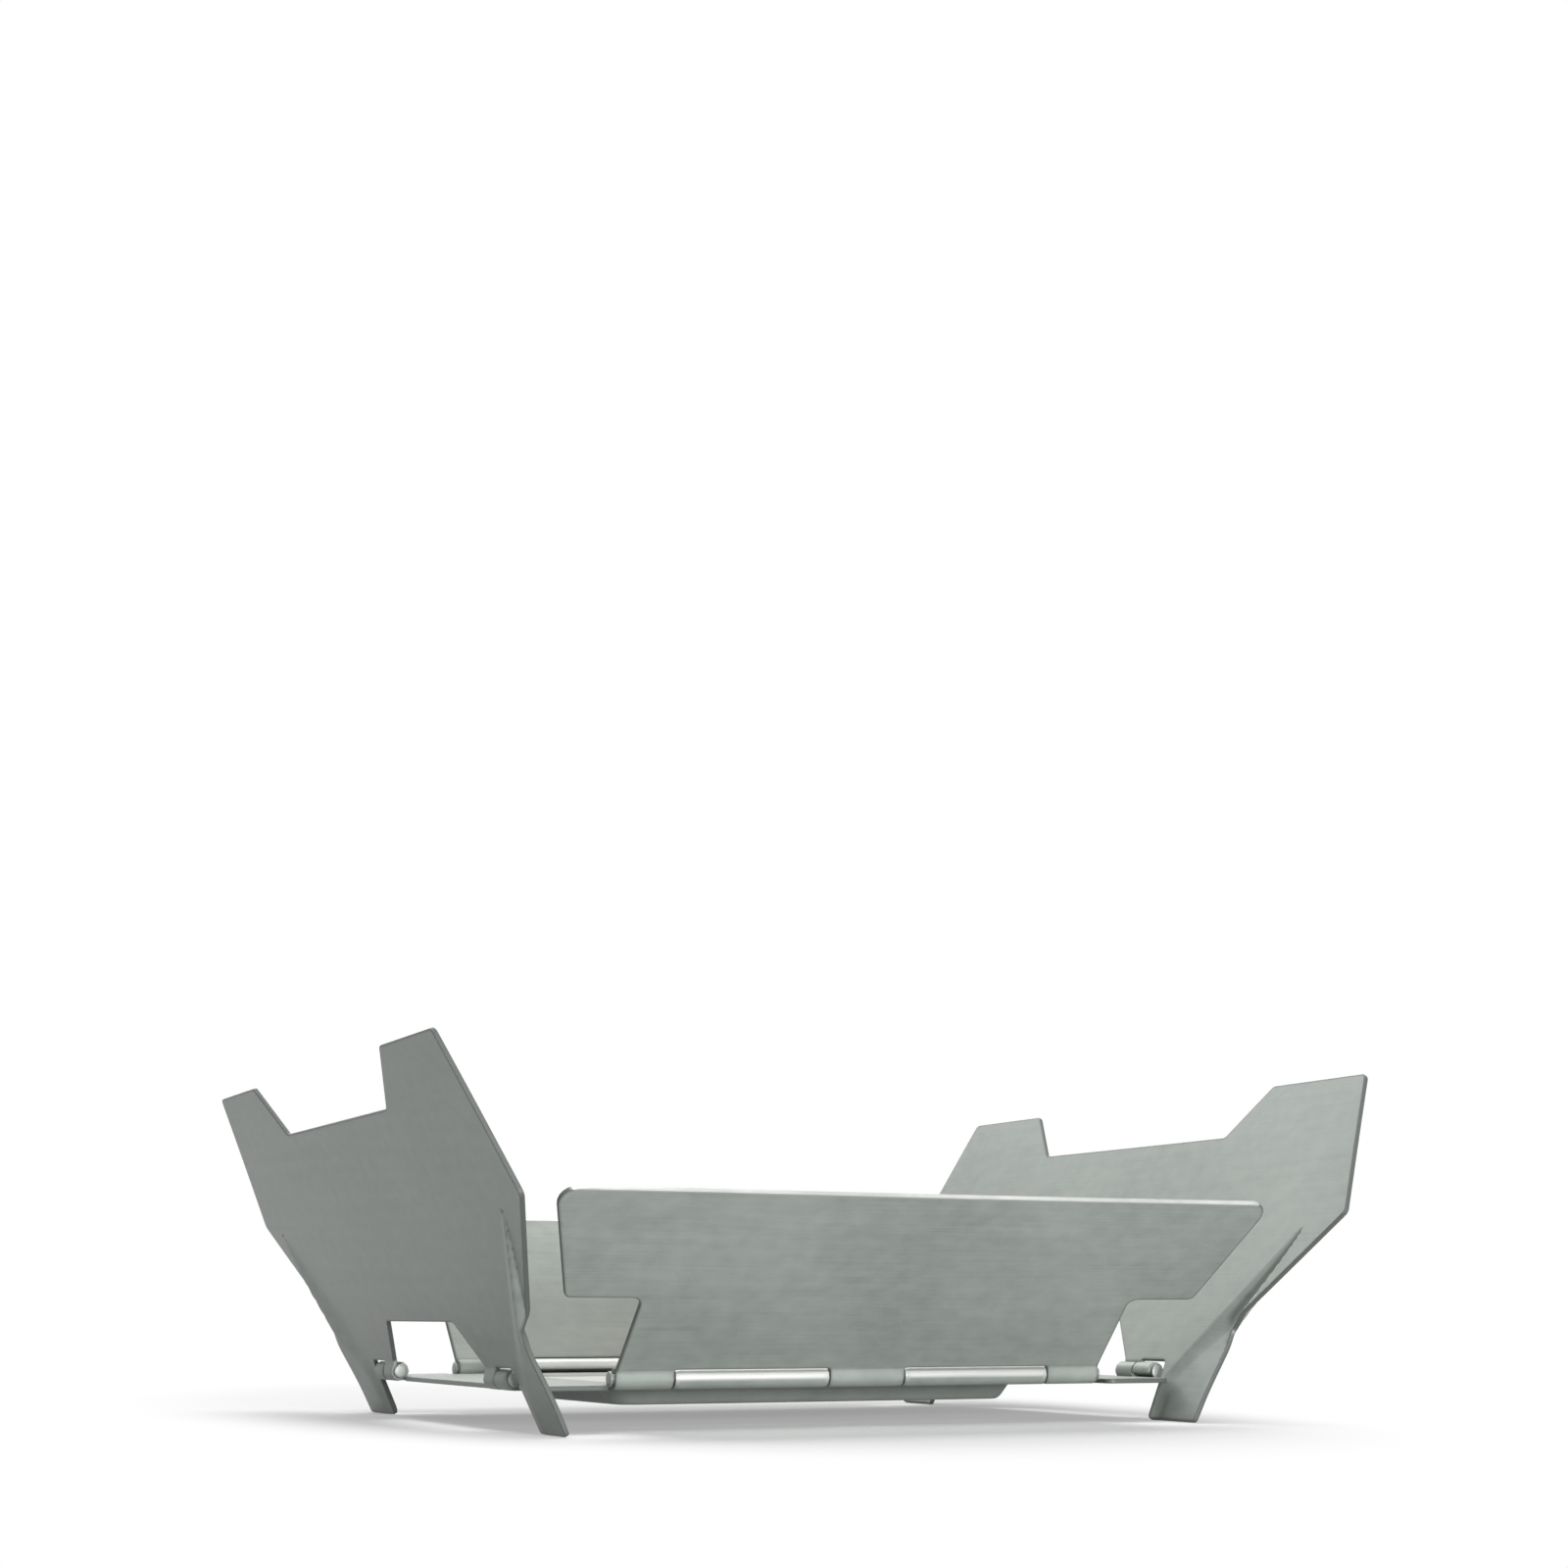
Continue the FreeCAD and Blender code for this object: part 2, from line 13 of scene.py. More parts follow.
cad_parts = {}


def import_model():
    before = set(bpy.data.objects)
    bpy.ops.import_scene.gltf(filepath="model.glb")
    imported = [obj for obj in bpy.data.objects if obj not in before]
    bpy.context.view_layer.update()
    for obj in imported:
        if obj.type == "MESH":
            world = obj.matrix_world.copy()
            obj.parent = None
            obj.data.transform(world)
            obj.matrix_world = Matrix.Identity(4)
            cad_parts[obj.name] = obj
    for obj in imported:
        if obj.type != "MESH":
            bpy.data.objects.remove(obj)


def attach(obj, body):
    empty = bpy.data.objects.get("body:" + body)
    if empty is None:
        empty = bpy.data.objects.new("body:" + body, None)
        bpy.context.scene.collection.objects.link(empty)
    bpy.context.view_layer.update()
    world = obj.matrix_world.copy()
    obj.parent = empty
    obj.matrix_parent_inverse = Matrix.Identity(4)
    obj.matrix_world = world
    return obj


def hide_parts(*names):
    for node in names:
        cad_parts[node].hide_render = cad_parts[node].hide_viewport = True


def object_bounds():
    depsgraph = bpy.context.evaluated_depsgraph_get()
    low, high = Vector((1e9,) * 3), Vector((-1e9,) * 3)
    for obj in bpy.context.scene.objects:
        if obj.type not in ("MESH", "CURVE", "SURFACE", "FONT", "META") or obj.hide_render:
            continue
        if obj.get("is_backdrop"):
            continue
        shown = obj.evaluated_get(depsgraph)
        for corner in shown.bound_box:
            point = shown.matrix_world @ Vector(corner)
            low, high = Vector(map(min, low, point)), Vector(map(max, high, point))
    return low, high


Array = np.ndarray
Pair = tuple[float, float]
Triple = tuple[float, float, float]
MM = 0.001
UV_SPAN = 100.0
TINY = 1e-12
SMALL = 1e-6
LEAST_MITRE = 0.5
BLACK: Triple = (0.0, 0.0, 0.0)
WHITE: Triple = (1.0, 1.0, 1.0)
LOG = logging.getLogger("folding_stove")


class Slot(Enum):
    """Material slots of the record."""

    SHEET = "sheet_steel"
    WIRE = "pin_wire"
    FUEL = "fuel"


class Side(Enum):
    """Sides of the base that carry a hinged sheet, as turns about the upright axis in degrees."""

    RIGHT = 0
    REAR = 90
    LEFT = 180
    FRONT = 270

    @property
    def word(self) -> str:
        """The side as the nodes' names begin with it."""
        return self.name.lower()


def ease(t: Array) -> Array:
    """Go from 0 to 1 with level ends: 3t^2 - 2t^3, held outside.

    Args:
        t: Positions, 0 at the start and 1 at the end.

    Returns:
        The eased values.
    """
    t = np.clip(t, 0.0, 1.0)
    return t * t * (3.0 - 2.0 * t)


def unit(vectors: Array) -> Array:
    """Scale vectors to length 1.

    Args:
        vectors: One vector in each row.

    Returns:
        The unit vectors.
    """
    return vectors / np.maximum(np.linalg.norm(vectors, axis=-1, keepdims=True), TINY)


def sampled(points: Array, spacing: float) -> Array:
    """Divide the runs of a closed line so that no step is longer than the spacing.

    Args:
        points: Corners of the closed line, (n, 2).
        spacing: Longest step.

    Returns:
        The points along the line, without the repeated start.
    """
    runs = np.roll(points, -1, axis=0) - points
    counts = np.maximum(np.ceil(np.linalg.norm(runs, axis=1) / spacing).astype(int), 1)
    owner = np.repeat(np.arange(len(points)), counts)
    step = np.arange(counts.sum()) - np.repeat(np.cumsum(counts) - counts, counts)
    return points[owner] + (step / counts[owner])[:, None] * runs[owner]


def rounded(corners: Array, spacing: float, steps: int = 7) -> Array:
    """Replace each corner of a closed outline by an arc.

    The arc's centre lies on the corner's bisector at r / sin(half angle), and its points turn evenly from one
    tangent point to the other.

    Args:
        corners: Corners with their radii, (n, 3), anticlockwise.
        spacing: Longest step along the straight runs.
        steps: Points on each arc.

    Returns:
        The rounded outline, (m, 2).
    """
    spots, radii = corners[:, :2], corners[:, 2:]
    back = unit(np.roll(spots, 1, axis=0) - spots)
    ahead = unit(np.roll(spots, -1, axis=0) - spots)
    half = 0.5 * np.arccos(np.clip(np.sum(back * ahead, axis=1), -1.0, 1.0))[:, None]
    centres = spots + unit(back + ahead) * radii / np.sin(half)
    first = spots + back * radii / np.tan(half) - centres
    last = spots + ahead * radii / np.tan(half) - centres
    swing = (np.pi - 2.0 * half)[:, None, :]
    share = np.linspace(0.0, 1.0, steps)[None, :, None]
    arcs = np.sin((1.0 - share) * swing) * first[:, None] + np.sin(share * swing) * last[:, None]
    arcs = centres[:, None] + arcs / np.sin(swing)
    return sampled(arcs.reshape(-1, 2), spacing)


def mitres(outline: Array) -> Array:
    """Outward directions of an anticlockwise outline, long enough to keep an offset's walls parallel.

    Args:
        outline: Points of the outline, (n, 2).

    Returns:
        One offset direction for each point.
    """
    ahead = unit(np.roll(outline, -1, axis=0) - outline)
    normals = np.column_stack([ahead[:, 1], -ahead[:, 0]])
    behind = np.roll(normals, 1, axis=0)
    both = unit(normals + behind)
    return both / np.maximum(np.sum(both * normals, axis=1, keepdims=True), LEAST_MITRE)


def inside(points: Array, outline: Array, margin: float) -> Array:
    """Tell which points lie inside an outline and at least a margin from it.

    A point is inside when a ray along the first axis crosses the outline an odd number of times.

    Args:
        points: Points to test, (n, 2).
        outline: Closed outline, (m, 2).
        margin: Least distance from the outline.

    Returns:
        A mask of the points.
    """
    start, end = outline, np.roll(outline, -1, axis=0)
    run = end - start
    x, y = points[:, :1], points[:, 1:]
    spans = (start[:, 1] > y) != (end[:, 1] > y)
    rise = np.where(run[:, 1] == 0.0, 1.0, run[:, 1])
    crossing = start[:, 0] + (y - start[:, 1]) * run[:, 0] / rise
    odd = np.sum(spans & (x < crossing), axis=1) % 2 == 1
    square = np.maximum(np.sum(run * run, axis=1), TINY)
    share = ((x - start[:, 0]) * run[:, 0] + (y - start[:, 1]) * run[:, 1]) / square
    share = np.clip(share, 0.0, 1.0)
    away = np.hypot(x - start[:, 0] - share * run[:, 0], y - start[:, 1] - share * run[:, 1])
    return odd & (away.min(axis=1) > margin)


def lattice(low: Sequence[float], high: Sequence[float], step: Sequence[float]) -> Array:
    """Points of an even grid between two corners.

    Args:
        low: Lower corner.
        high: Upper corner.
        step: Spacing along both axes.

    Returns:
        The grid's points, (n, 2).
    """
    x, y = np.meshgrid(np.arange(low[0], high[0], step[0]), np.arange(low[1], high[1], step[1]))
    return np.column_stack([x.ravel(), y.ravel()])


def mirrored(half: Array) -> Array:
    """Complete a right half outline, drawn from its upper to its lower middle, to a whole one, anticlockwise.

    Args:
        half: Corners with radii, (n, 3).

    Returns:
        The corners of the whole outline.
    """
    return np.concatenate([half, half[::-1] * [-1.0, 1.0, 1.0]])[::-1]


def bands(rows: Array) -> Array:
    """Join each closed row of points to the next one by quads.

    Args:
        rows: Numbers of the points, one row after the other.

    Returns:
        The quads' corners, (n, 4).
    """
    after = np.roll(rows, -1, axis=1)
    return np.stack([rows[:-1], rows[1:], after[1:], after[:-1]], axis=-1).reshape(-1, 4)


@dataclass
class Shell:
    """Arrays of a mesh: points in millimetres, their normals, sheet coordinates, masks and faces."""

    points: Array
    normals: Array
    flat: Array
    faces: list[Array]
    masks: dict[str, Array] = field(default_factory=dict)

    def make(self, name: str) -> bpy.types.Object:
        """Put the arrays into a mesh object at the origin.

        Args:
            name: Name of the object.

        Returns:
            The object, linked to the scene.
        """
        mesh = bpy.data.meshes.new(name)
        sizes = np.concatenate([np.full(len(faces), faces.shape[1]) for faces in self.faces])
        corners = np.concatenate([faces.ravel() for faces in self.faces]).astype(np.int32)
        mesh.vertices.add(len(self.points))
        mesh.vertices.foreach_set("co", (self.points * MM).astype(np.float32).ravel())
        mesh.loops.add(len(corners))
        mesh.loops.foreach_set("vertex_index", corners)
        mesh.polygons.add(len(sizes))
        mesh.polygons.foreach_set("loop_start", (np.cumsum(sizes) - sizes).astype(np.int32))
        mesh.polygons.foreach_set("use_smooth", np.ones(len(sizes), dtype=bool))
        mesh.update(calc_edges=True)
        layer = mesh.uv_layers.new(name="blank")
        layer.data.foreach_set("uv", (self.flat[corners] / UV_SPAN).astype(np.float32).ravel())
        for mask, values in self.masks.items():
            mesh.attributes.new(mask, "FLOAT", "POINT").data.foreach_set("value", values.astype(np.float32))
        mesh.normals_split_custom_set_from_vertices(self.normals)
        piece = bpy.data.objects.new(name, mesh)
        bpy.context.collection.objects.link(piece)
        return piece


@dataclass(frozen=True)
class Hinge:
    """Sizes that every hinge of the stove shares, in millimetres."""

    sheet: float = 0.6
    pin_radius: float = 0.6
    clearance: float = 0.05
    gap: float = 0.2
    relief: float = 0.3
    height: float = 6.0
    wing_axis: float = 44.0
    shield_axis: float = 29.2

    @property
    def roll(self) -> float:
        """Radius of a knuckle at the middle of its sheet."""
        return self.pin_radius + self.clearance + self.sheet / 2

    @property
    def clear(self) -> float:
        """Distance from a hinge axis to the cut edges beside a knuckle."""
        return self.pin_radius + self.clearance + self.sheet + self.relief


@dataclass(frozen=True)
class Stand:
    """Place of a hinged sheet: across along its hinge, up along the sheet, out along its front."""

    side: Side
    axis: float
    lean: float
    height: float

    def place(self, local: Array) -> Array:
        """Turn and move points of the sheet to their place on the stove.

        Across goes to Y, up to (sin lean, 0, cos lean) and out to (cos lean, 0, -sin lean). Then all turns
        about Z.

        Args:
            local: Points as across, up and out, (n, 3).

        Returns:
            The points in the stove's frame.
        """
        lean, turn = math.radians(self.lean), math.radians(self.side.value)
        axes = np.array([
            [0, 1, 0],
            [math.sin(lean), 0, math.cos(lean)],
            [math.cos(lean), 0, -math.sin(lean)],
        ])
        spin = np.array([
            [math.cos(turn), math.sin(turn), 0],
            [-math.sin(turn), math.cos(turn), 0],
            [0, 0, 1],
        ])
        return (local @ axes + [self.axis, 0, self.height]) @ spin


def rolled(along: Array, hinge: Hinge) -> tuple[Array, Array]:
    """Carry a tab's length round its hinge.

    From the root the tab eases sideways by the roll's radius until it passes the axis, and then goes round
    it on a circle: up = -r sin(a), out = r cos(a), with a = length beyond the axis / r.

    Args:
        along: Places on the flat tab, measured from the axis towards the sheet.
        hinge: Sizes of the hinge.

    Returns:
        The heights along the sheet and the distances out of it.
    """
    angle = np.maximum(-along, 0.0) / hinge.roll
    up = np.where(along > 0.0, along, -hinge.roll * np.sin(angle))
    out = np.where(along > 0.0, hinge.roll * ease(1.0 - along / hinge.clear), hinge.roll * np.cos(angle))
    return up, out


@dataclass
class Part:
    """A piece of the stove: a subclass gives its shell, its kind of stock and its slot in the record."""

    hinge: Hinge
    node: str
    body: str
    stock: ClassVar[str]
    slot: ClassVar[Slot]

    def shell(self) -> Shell:
        """The closed shell of the piece."""
        raise NotImplementedError

    def build(self, finish: "Finish") -> bpy.types.Object:
        """Make the piece, dress it, tie it to its body and hide the CAD node that it replaces.

        Args:
            finish: Finish of the piece.

        Returns:
            The finished piece.
        """
        piece = self.shell().make(f"{self.node}_{self.stock}")
        finish.dress(piece)
        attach(piece, self.body)
        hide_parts(self.node)
        return piece


@dataclass
class Pressing(Part):
    """A piece cut from flat sheet and formed: a subclass gives its blank, its extra points and its form."""

    stock: ClassVar[str] = "sheet"
    slot: ClassVar[Slot] = Slot.SHEET
    edge_round: float = 0.14
    edge_turns: Triple = (30.0, 60.0, 90.0)
    edge_wear: float = 0.22
    edge_step: float = 0.6
    rim_shade: float = 0.7
    tab_shade: float = 0.35
    tab_step: Pair = (0.6, 0.14)
    mesh_step: Pair = (1.1, 1.1)
    ring_room: float = 0.6
    seed_room: float = 1.6
    slope_step: float = 1e-3
    # Centre and reach in millimetres, and facing gain, of the painted light from the fuel's flame.
    heat_centre: Triple = (0.0, 0.0, 14.0)
    heat_reach: float = 34.0
    heat_facing: float = 1.6

    def blank(self) -> Array:
        """Corners of the flat blank with their radii, anticlockwise."""
        raise NotImplementedError

    def seeds(self) -> Array:
        """Points inside the blank that its form needs."""
        raise NotImplementedError

    def form(self, flat: Array, level: Array) -> Array:
        """Places of the sheet's middle for points of the blank, for the face at a level from -1 to 1."""
        raise NotImplementedError

    def on_tab(self, flat: Array) -> Array:
        """Which points of the blank lie on tabs that are rolled into knuckles."""
        raise NotImplementedError

    def burnish(self, flat: Array) -> Array:
        """Strength of the painted highlight, from 0 to 1, for points of the blank."""
        return np.zeros(len(flat))

    def triangles(self) -> tuple[Array, Array, int]:
        """Divide the blank into triangles between its edge points and its seeds.

        Returns:
            The points, edge points first, the triangles, anticlockwise, and the number of edge points.
        """
        outline = rounded(self.blank(), self.edge_step)
        outline = outline - self.edge_round * mitres(outline)
        ring = outline - self.edge_wear * mitres(outline)
        ring = ring[inside(ring, outline, self.ring_room * self.edge_wear)]
        seeds = self.seeds()
        seeds = seeds[inside(seeds, outline, self.seed_room * self.edge_wear)]
        count, inside_only = len(outline), 1
        points = np.concatenate([outline, ring, seeds])
        edge = [list(range(count))]
        spots, _, faces, _, _, _ = delaunay_2d_cdt(points.tolist(), [], edge, inside_only, SMALL)
        return np.array(spots), np.array(faces), count

    def shell(self) -> Shell:
        """Form both faces of the sheet and carry its rounded edge round the outline.

        A face lies half a thickness from the formed middle along its normal, the cross product of the form's
        two slopes. The edge's section is a quarter circle, a straight part and a quarter circle.

        Returns:
            The closed shell of the piece.
        """
        flat, triangles, count = self.triangles()
        half, total = self.hinge.sheet / 2, len(flat)
        out = mitres(flat[:count])
        turn = np.radians(self.edge_turns)
        swing = np.concatenate([turn, np.pi - turn[::-1]])
        reach = self.edge_round * np.sin(swing)
        curl = self.edge_round * (1 - np.cos(turn))
        level = np.concatenate([half - curl, curl[::-1] - half])
        strip = (flat[None, :count] + reach[:, None, None] * out[None]).reshape(-1, 2)
        every = np.concatenate([flat, flat, strip])
        lift = np.concatenate([np.full(total, half), np.full(total, -half), np.repeat(level, count)])
        heading = np.concatenate([np.tile([1.0, 0.0], (2 * total, 1)), np.tile(out, (len(swing), 1))])
        middle, normal, side = self.formed(every, heading, lift / half)
        facing = np.concatenate([np.zeros(total), np.full(total, np.pi), np.repeat(swing, count)])[:, None]
        shading = normal * np.cos(facing)
        shading = np.where(np.sin(facing) > SMALL, shading + side * np.sin(facing), shading)
        edge_rows = 2 * total + np.arange(len(strip)).reshape(-1, count)
        rows = np.concatenate([[np.arange(count)], edge_rows, [total + np.arange(count)]])
        sheet_uv = every + np.concatenate([flat * 0, flat * 0 + [0, 2 * UV_SPAN], strip * 0])
        points = middle + normal * lift[:, None]
        edge = np.concatenate([np.zeros(2 * total), np.ones(len(strip))])
        edge[:count] = edge[total:total + count] = self.rim_shade
        edge = np.where(self.on_tab(every), self.tab_shade * edge, edge)
        # The second mask is painted light of the fuel's flame, the third a painted highlight.
        return Shell(points, unit(shading), sheet_uv, [triangles, triangles[:, ::-1] + total, bands(rows)],
                     {"edge": edge, "warm": self.warmth(points, shading), "bright": self.burnish(every)})

    def formed(self, flat: Array, heading: Array, level: Array) -> tuple[Array, Array, Array]:
        """Work out the form's places, normals and directions from small steps on the blank.

        Args:
            flat: Points of the blank.
            heading: A direction on the blank for each point.
            level: Place of each point in the thickness, -1 on the back and 1 on the front.

        Returns:
            Places, unit normals and unit directions in the stove's frame.
        """
        step = self.slope_step
        across = self.form(flat + [step, 0], level) - self.form(flat - [step, 0], level)
        along = self.form(flat + [0, step], level) - self.form(flat - [0, step], level)
        side = self.form(flat + step * heading, level) - self.form(flat - step * heading, level)
        return self.form(flat, level), unit(np.cross(across, along)), unit(side)

    def warmth(self, points: Array, normals: Array) -> Array:
        """Painted light of the fuel's flame: how much a surface looks at the fuel from near by, facing times
        exp(-(distance / reach)^2).

        Args:
            points: Places in millimetres.
            normals: Normals there.

        Returns:
            Values from 0 to 1.
        """
        sight = np.array(self.heat_centre) - points
        away = np.linalg.norm(sight, axis=1)
        facing = np.clip(np.sum(unit(sight) * unit(normals), axis=1) * self.heat_facing, 0.0, 1.0)
        return facing * np.exp(-(away / self.heat_reach) ** 2)


@dataclass
class Panel(Pressing):
    """A pressed sheet that stands on a hinge at one side of the base and leans outwards."""

    side: Side = Side.RIGHT
    lean: float = 0.0
    wrap: float = 235.0
    root_rows: float = 1.2
    tab_trim: Pair = (0.2, 0.3)

    @property
    def tab_end(self) -> float:
        """End of a knuckle's tab on the flat blank."""
        return -self.hinge.roll * math.radians(self.wrap)

    @property
    def root(self) -> float:
        """Height up to which the points lie in close rows."""
        return self.hinge.clear + self.root_rows

    def tab_rows(self, start: float, stop: float) -> Array:
        """Close rows of points over the tabs and their roots.

        Args:
            start: First distance from the panel's middle.
            stop: Last distance from the panel's middle.

        Returns:
            Points of the blank.
        """
        low, high = self.tab_end + self.tab_trim[0], self.root - self.tab_trim[1]
        return lattice((start, low), (stop, high), self.tab_step)

    def stood(self, flat: Array, axis: float, height: Array, depth: Array) -> Array:
        """Roll the tabs and stand the panel on its hinge.

        Args:
            flat: Points of the blank.
            axis: Distance of the hinge from the stove's middle.
            height: Heights along the panel, used off the tabs.
            depth: Distances out of the panel's plane, used off the tabs.

        Returns:
            Places in the stove's frame.
        """
        tab = self.on_tab(flat)
        high, out = rolled(flat[:, 1], self.hinge)
        local = np.column_stack([flat[:, 0], np.where(tab, high, height), np.where(tab, out, depth)])
        return Stand(self.side, axis, self.lean, self.hinge.height).place(local)


@dataclass
class Wing(Panel):
    """An end wing: pot horns and notch on top, window and knuckles at the hinge, legs with pressed darts."""

    lean: float = 26.0
    horn: Triple = (50.0, 30.4, 41.6)
    notch: Pair = (23.2, 34.3)
    elbow: Pair = (55.6, 21.9)
    knee: Pair = (39.6, 6.5)
    foot: Pair = (38.7, 29.1)
    sole_trim: float = 0.16
    leg_root: float = 28.5
    leg_room: float = 2.0
    window: Triple = (13.8, 19.0, 7.3)
    knuckle: float = 3.8
    dart_tip: Pair = (47.9, 20.2)
    dart_end: Pair = (29.3, -0.6)
    dart_depth: float = 1.05
    gutter_depth: float = 0.5
    gutter_fade: float = 0.3
    leaf_width: float = 3.4
    leaf_power: float = 0.6
    leaf_least: float = 0.005
    valley_share: float = 0.66
    knee_share: float = 0.56
    knee_lead: float = 0.12
    knee_fade: float = 0.22
    turn_round: float = 1.2
    front_lead: float = 0.8
    dart_step: Pair = (0.45, 0.27)
    dart_start: Pair = (-0.9, -0.9)
    dart_tail: float = 9.0
    dart_reach: float = 5.4
    cleared_down: Pair = (0.65, 0.7)
    cleared_out: Pair = (2.1, 3.3)
    bow: float = 0.08
    bow_rise: float = 12.0
    bow_waves: Pair = (19.0, 7.0)
    bow_shift: float = 0.6
    bow_second: float = 0.5

    @property
    def sole(self) -> float:
        """Height of the legs' lower ends along the sheet."""
        return self.sole_trim - self.hinge.height / math.cos(math.radians(self.lean))

    def blank(self) -> Array:
        """Corners of the wing's blank with their radii, its right half and the mirror image of it.

        Returns:
            The corners, (n, 3), anticlockwise.
        """
        knuckle_end = self.window[1] + self.knuckle
        half = np.array([
            (*self.notch, 1.0),
            (self.horn[1], self.horn[2], 1.0),
            (self.horn[0], self.horn[2], 1.0),
            (*self.elbow, 1.0),
            (*self.knee, 1.0),
            (self.foot[0], self.sole, 0.5),
            (self.foot[1], self.sole, 0.5),
            (self.leg_root, self.hinge.clear, 0.7),
            (knuckle_end, self.hinge.clear, 0.4),
            (knuckle_end, self.tab_end, 0.25),
            (self.window[1], self.tab_end, 0.25),
            (self.window[1], self.hinge.clear, 0.6),
            (self.window[0], self.window[2], 1.0),
        ])
        return mirrored(half)

    def seeds(self) -> Array:
        """An even grid clear of the darts, close rows round the knuckles and a fine grid along the darts.

        Returns:
            Points of the blank.
        """
        reach, top = self.elbow[0], self.horn[2]
        body = lattice((-reach, self.sole), (reach, top), self.mesh_step)
        body = body[(body[:, 1] > self.root) | (np.abs(body[:, 0]) > self.leg_root)]
        down, beside = self.across_dart(np.abs(body[:, 0]), body[:, 1])
        far_down = np.abs(down - self.cleared_down[0]) > self.cleared_down[1]
        far_out = np.abs(beside - self.cleared_out[0]) > self.cleared_out[1]
        run = np.subtract(self.dart_end, self.dart_tip)
        length = np.linalg.norm(run)
        ahead, out = run / length, np.array([-run[1], run[0]]) / length
        grid = lattice(self.dart_start, (length + self.dart_tail, self.dart_reach), self.dart_step)
        dart = np.add(self.dart_tip, grid[:, :1] * ahead + grid[:, 1:] * out)
        extra = np.concatenate([self.tab_rows(self.window[0], self.leg_root), dart])
        return np.concatenate([body[far_out | far_down], extra, extra * [-1.0, 1.0]])

    def on_tab(self, flat: Array) -> Array:
        """Points below the hinge's cut edges and clear of the legs."""
        return (np.abs(flat[:, 0]) < self.leg_root - self.leg_room) & (flat[:, 1] < self.hinge.clear)

    def across_dart(self, across: Array, up: Array) -> tuple[Array, Array]:
        """Share of the way down a dart and distance out of its crease.

        Args:
            across: Distances from the wing's middle.
            up: Heights along the sheet.

        Returns:
            The shares, 0 at the tip and 1 at the lower end, and the distances in millimetres.
        """
        run = np.subtract(self.dart_end, self.dart_tip)
        length = np.linalg.norm(run)
        x, y = across - self.dart_tip[0], up - self.dart_tip[1]
        return (x * run[0] + y * run[1]) / length**2, (y * run[0] - x * run[1]) / length

    def dart(self, across: Array, up: Array, level: Array) -> Array:
        """Depth of the pressed darts and of the legs' gutters.

        On the back the sheet falls out of the sharp crease as 1 - (1 - t)^2 over the valley. On the front it
        eases over a wider one. The leaf widens from its tip as a power of the way down, and above the knee
        the sheet eases back at its outer side. Down the leg the crease turns along the leg's inner edge.

        Args:
            across: Distances from the wing's middle.
            up: Heights along the sheet.
            level: Place of each point in the thickness.

        Returns:
            Distances out of the sheet's plane.
        """
        down, out = self.across_dart(np.abs(across), up)
        beside = np.abs(across) - self.foot[1]
        blend = np.clip(0.5 + 0.5 * (beside - out) / self.turn_round, 0.0, 1.0)
        out = beside + (out - beside) * blend - self.turn_round * blend * (1.0 - blend)
        way, past = down / self.knee_share, down - self.knee_share
        leaf = self.leaf_width * np.clip(way, self.leaf_least, 1.0) ** self.leaf_power
        valley = self.valley_share * leaf
        sharp = 1.0 - (1.0 - np.clip(out / valley, 0.0, 1.0)) ** 2
        soft = ease((out + self.front_lead) / (valley + 2 * self.front_lead))
        fall = sharp + 0.5 * (1.0 + level) * (soft - sharp)
        back = ease((out - valley) / (leaf - valley)) * (1.0 - ease((past + self.knee_lead) / self.knee_fade))
        depth = self.dart_depth * np.sqrt(np.clip(way, 0.0, 1.0))
        depth = depth + (self.gutter_depth - self.dart_depth) * ease(past / self.gutter_fade)
        return depth * fall * (1.0 - back)

    def form(self, flat: Array, level: Array) -> Array:
        """Press the darts, bow the sheet a little, roll the tabs and stand the wing on its hinge.

        Towards the sole a leg is drawn up by its gutter's depth times tan(lean), so that its whole end stands
        level.

        Args:
            flat: Points of the blank.
            level: Place of each point in the thickness.

        Returns:
            Places in the stove's frame.
        """
        across, up = flat.T
        dart = self.dart(across, up, level)
        drawn = up + dart * math.tan(math.radians(self.lean)) * ease(up / self.sole)
        wave = np.cos(across / self.bow_waves[0] + self.bow_shift)
        wave = wave + self.bow_second * np.sin(up / self.bow_waves[1])
        bow = self.bow * ease((up - self.hinge.clear) / self.bow_rise) * wave
        return self.stood(flat, self.hinge.wing_axis, drawn, dart + bow)


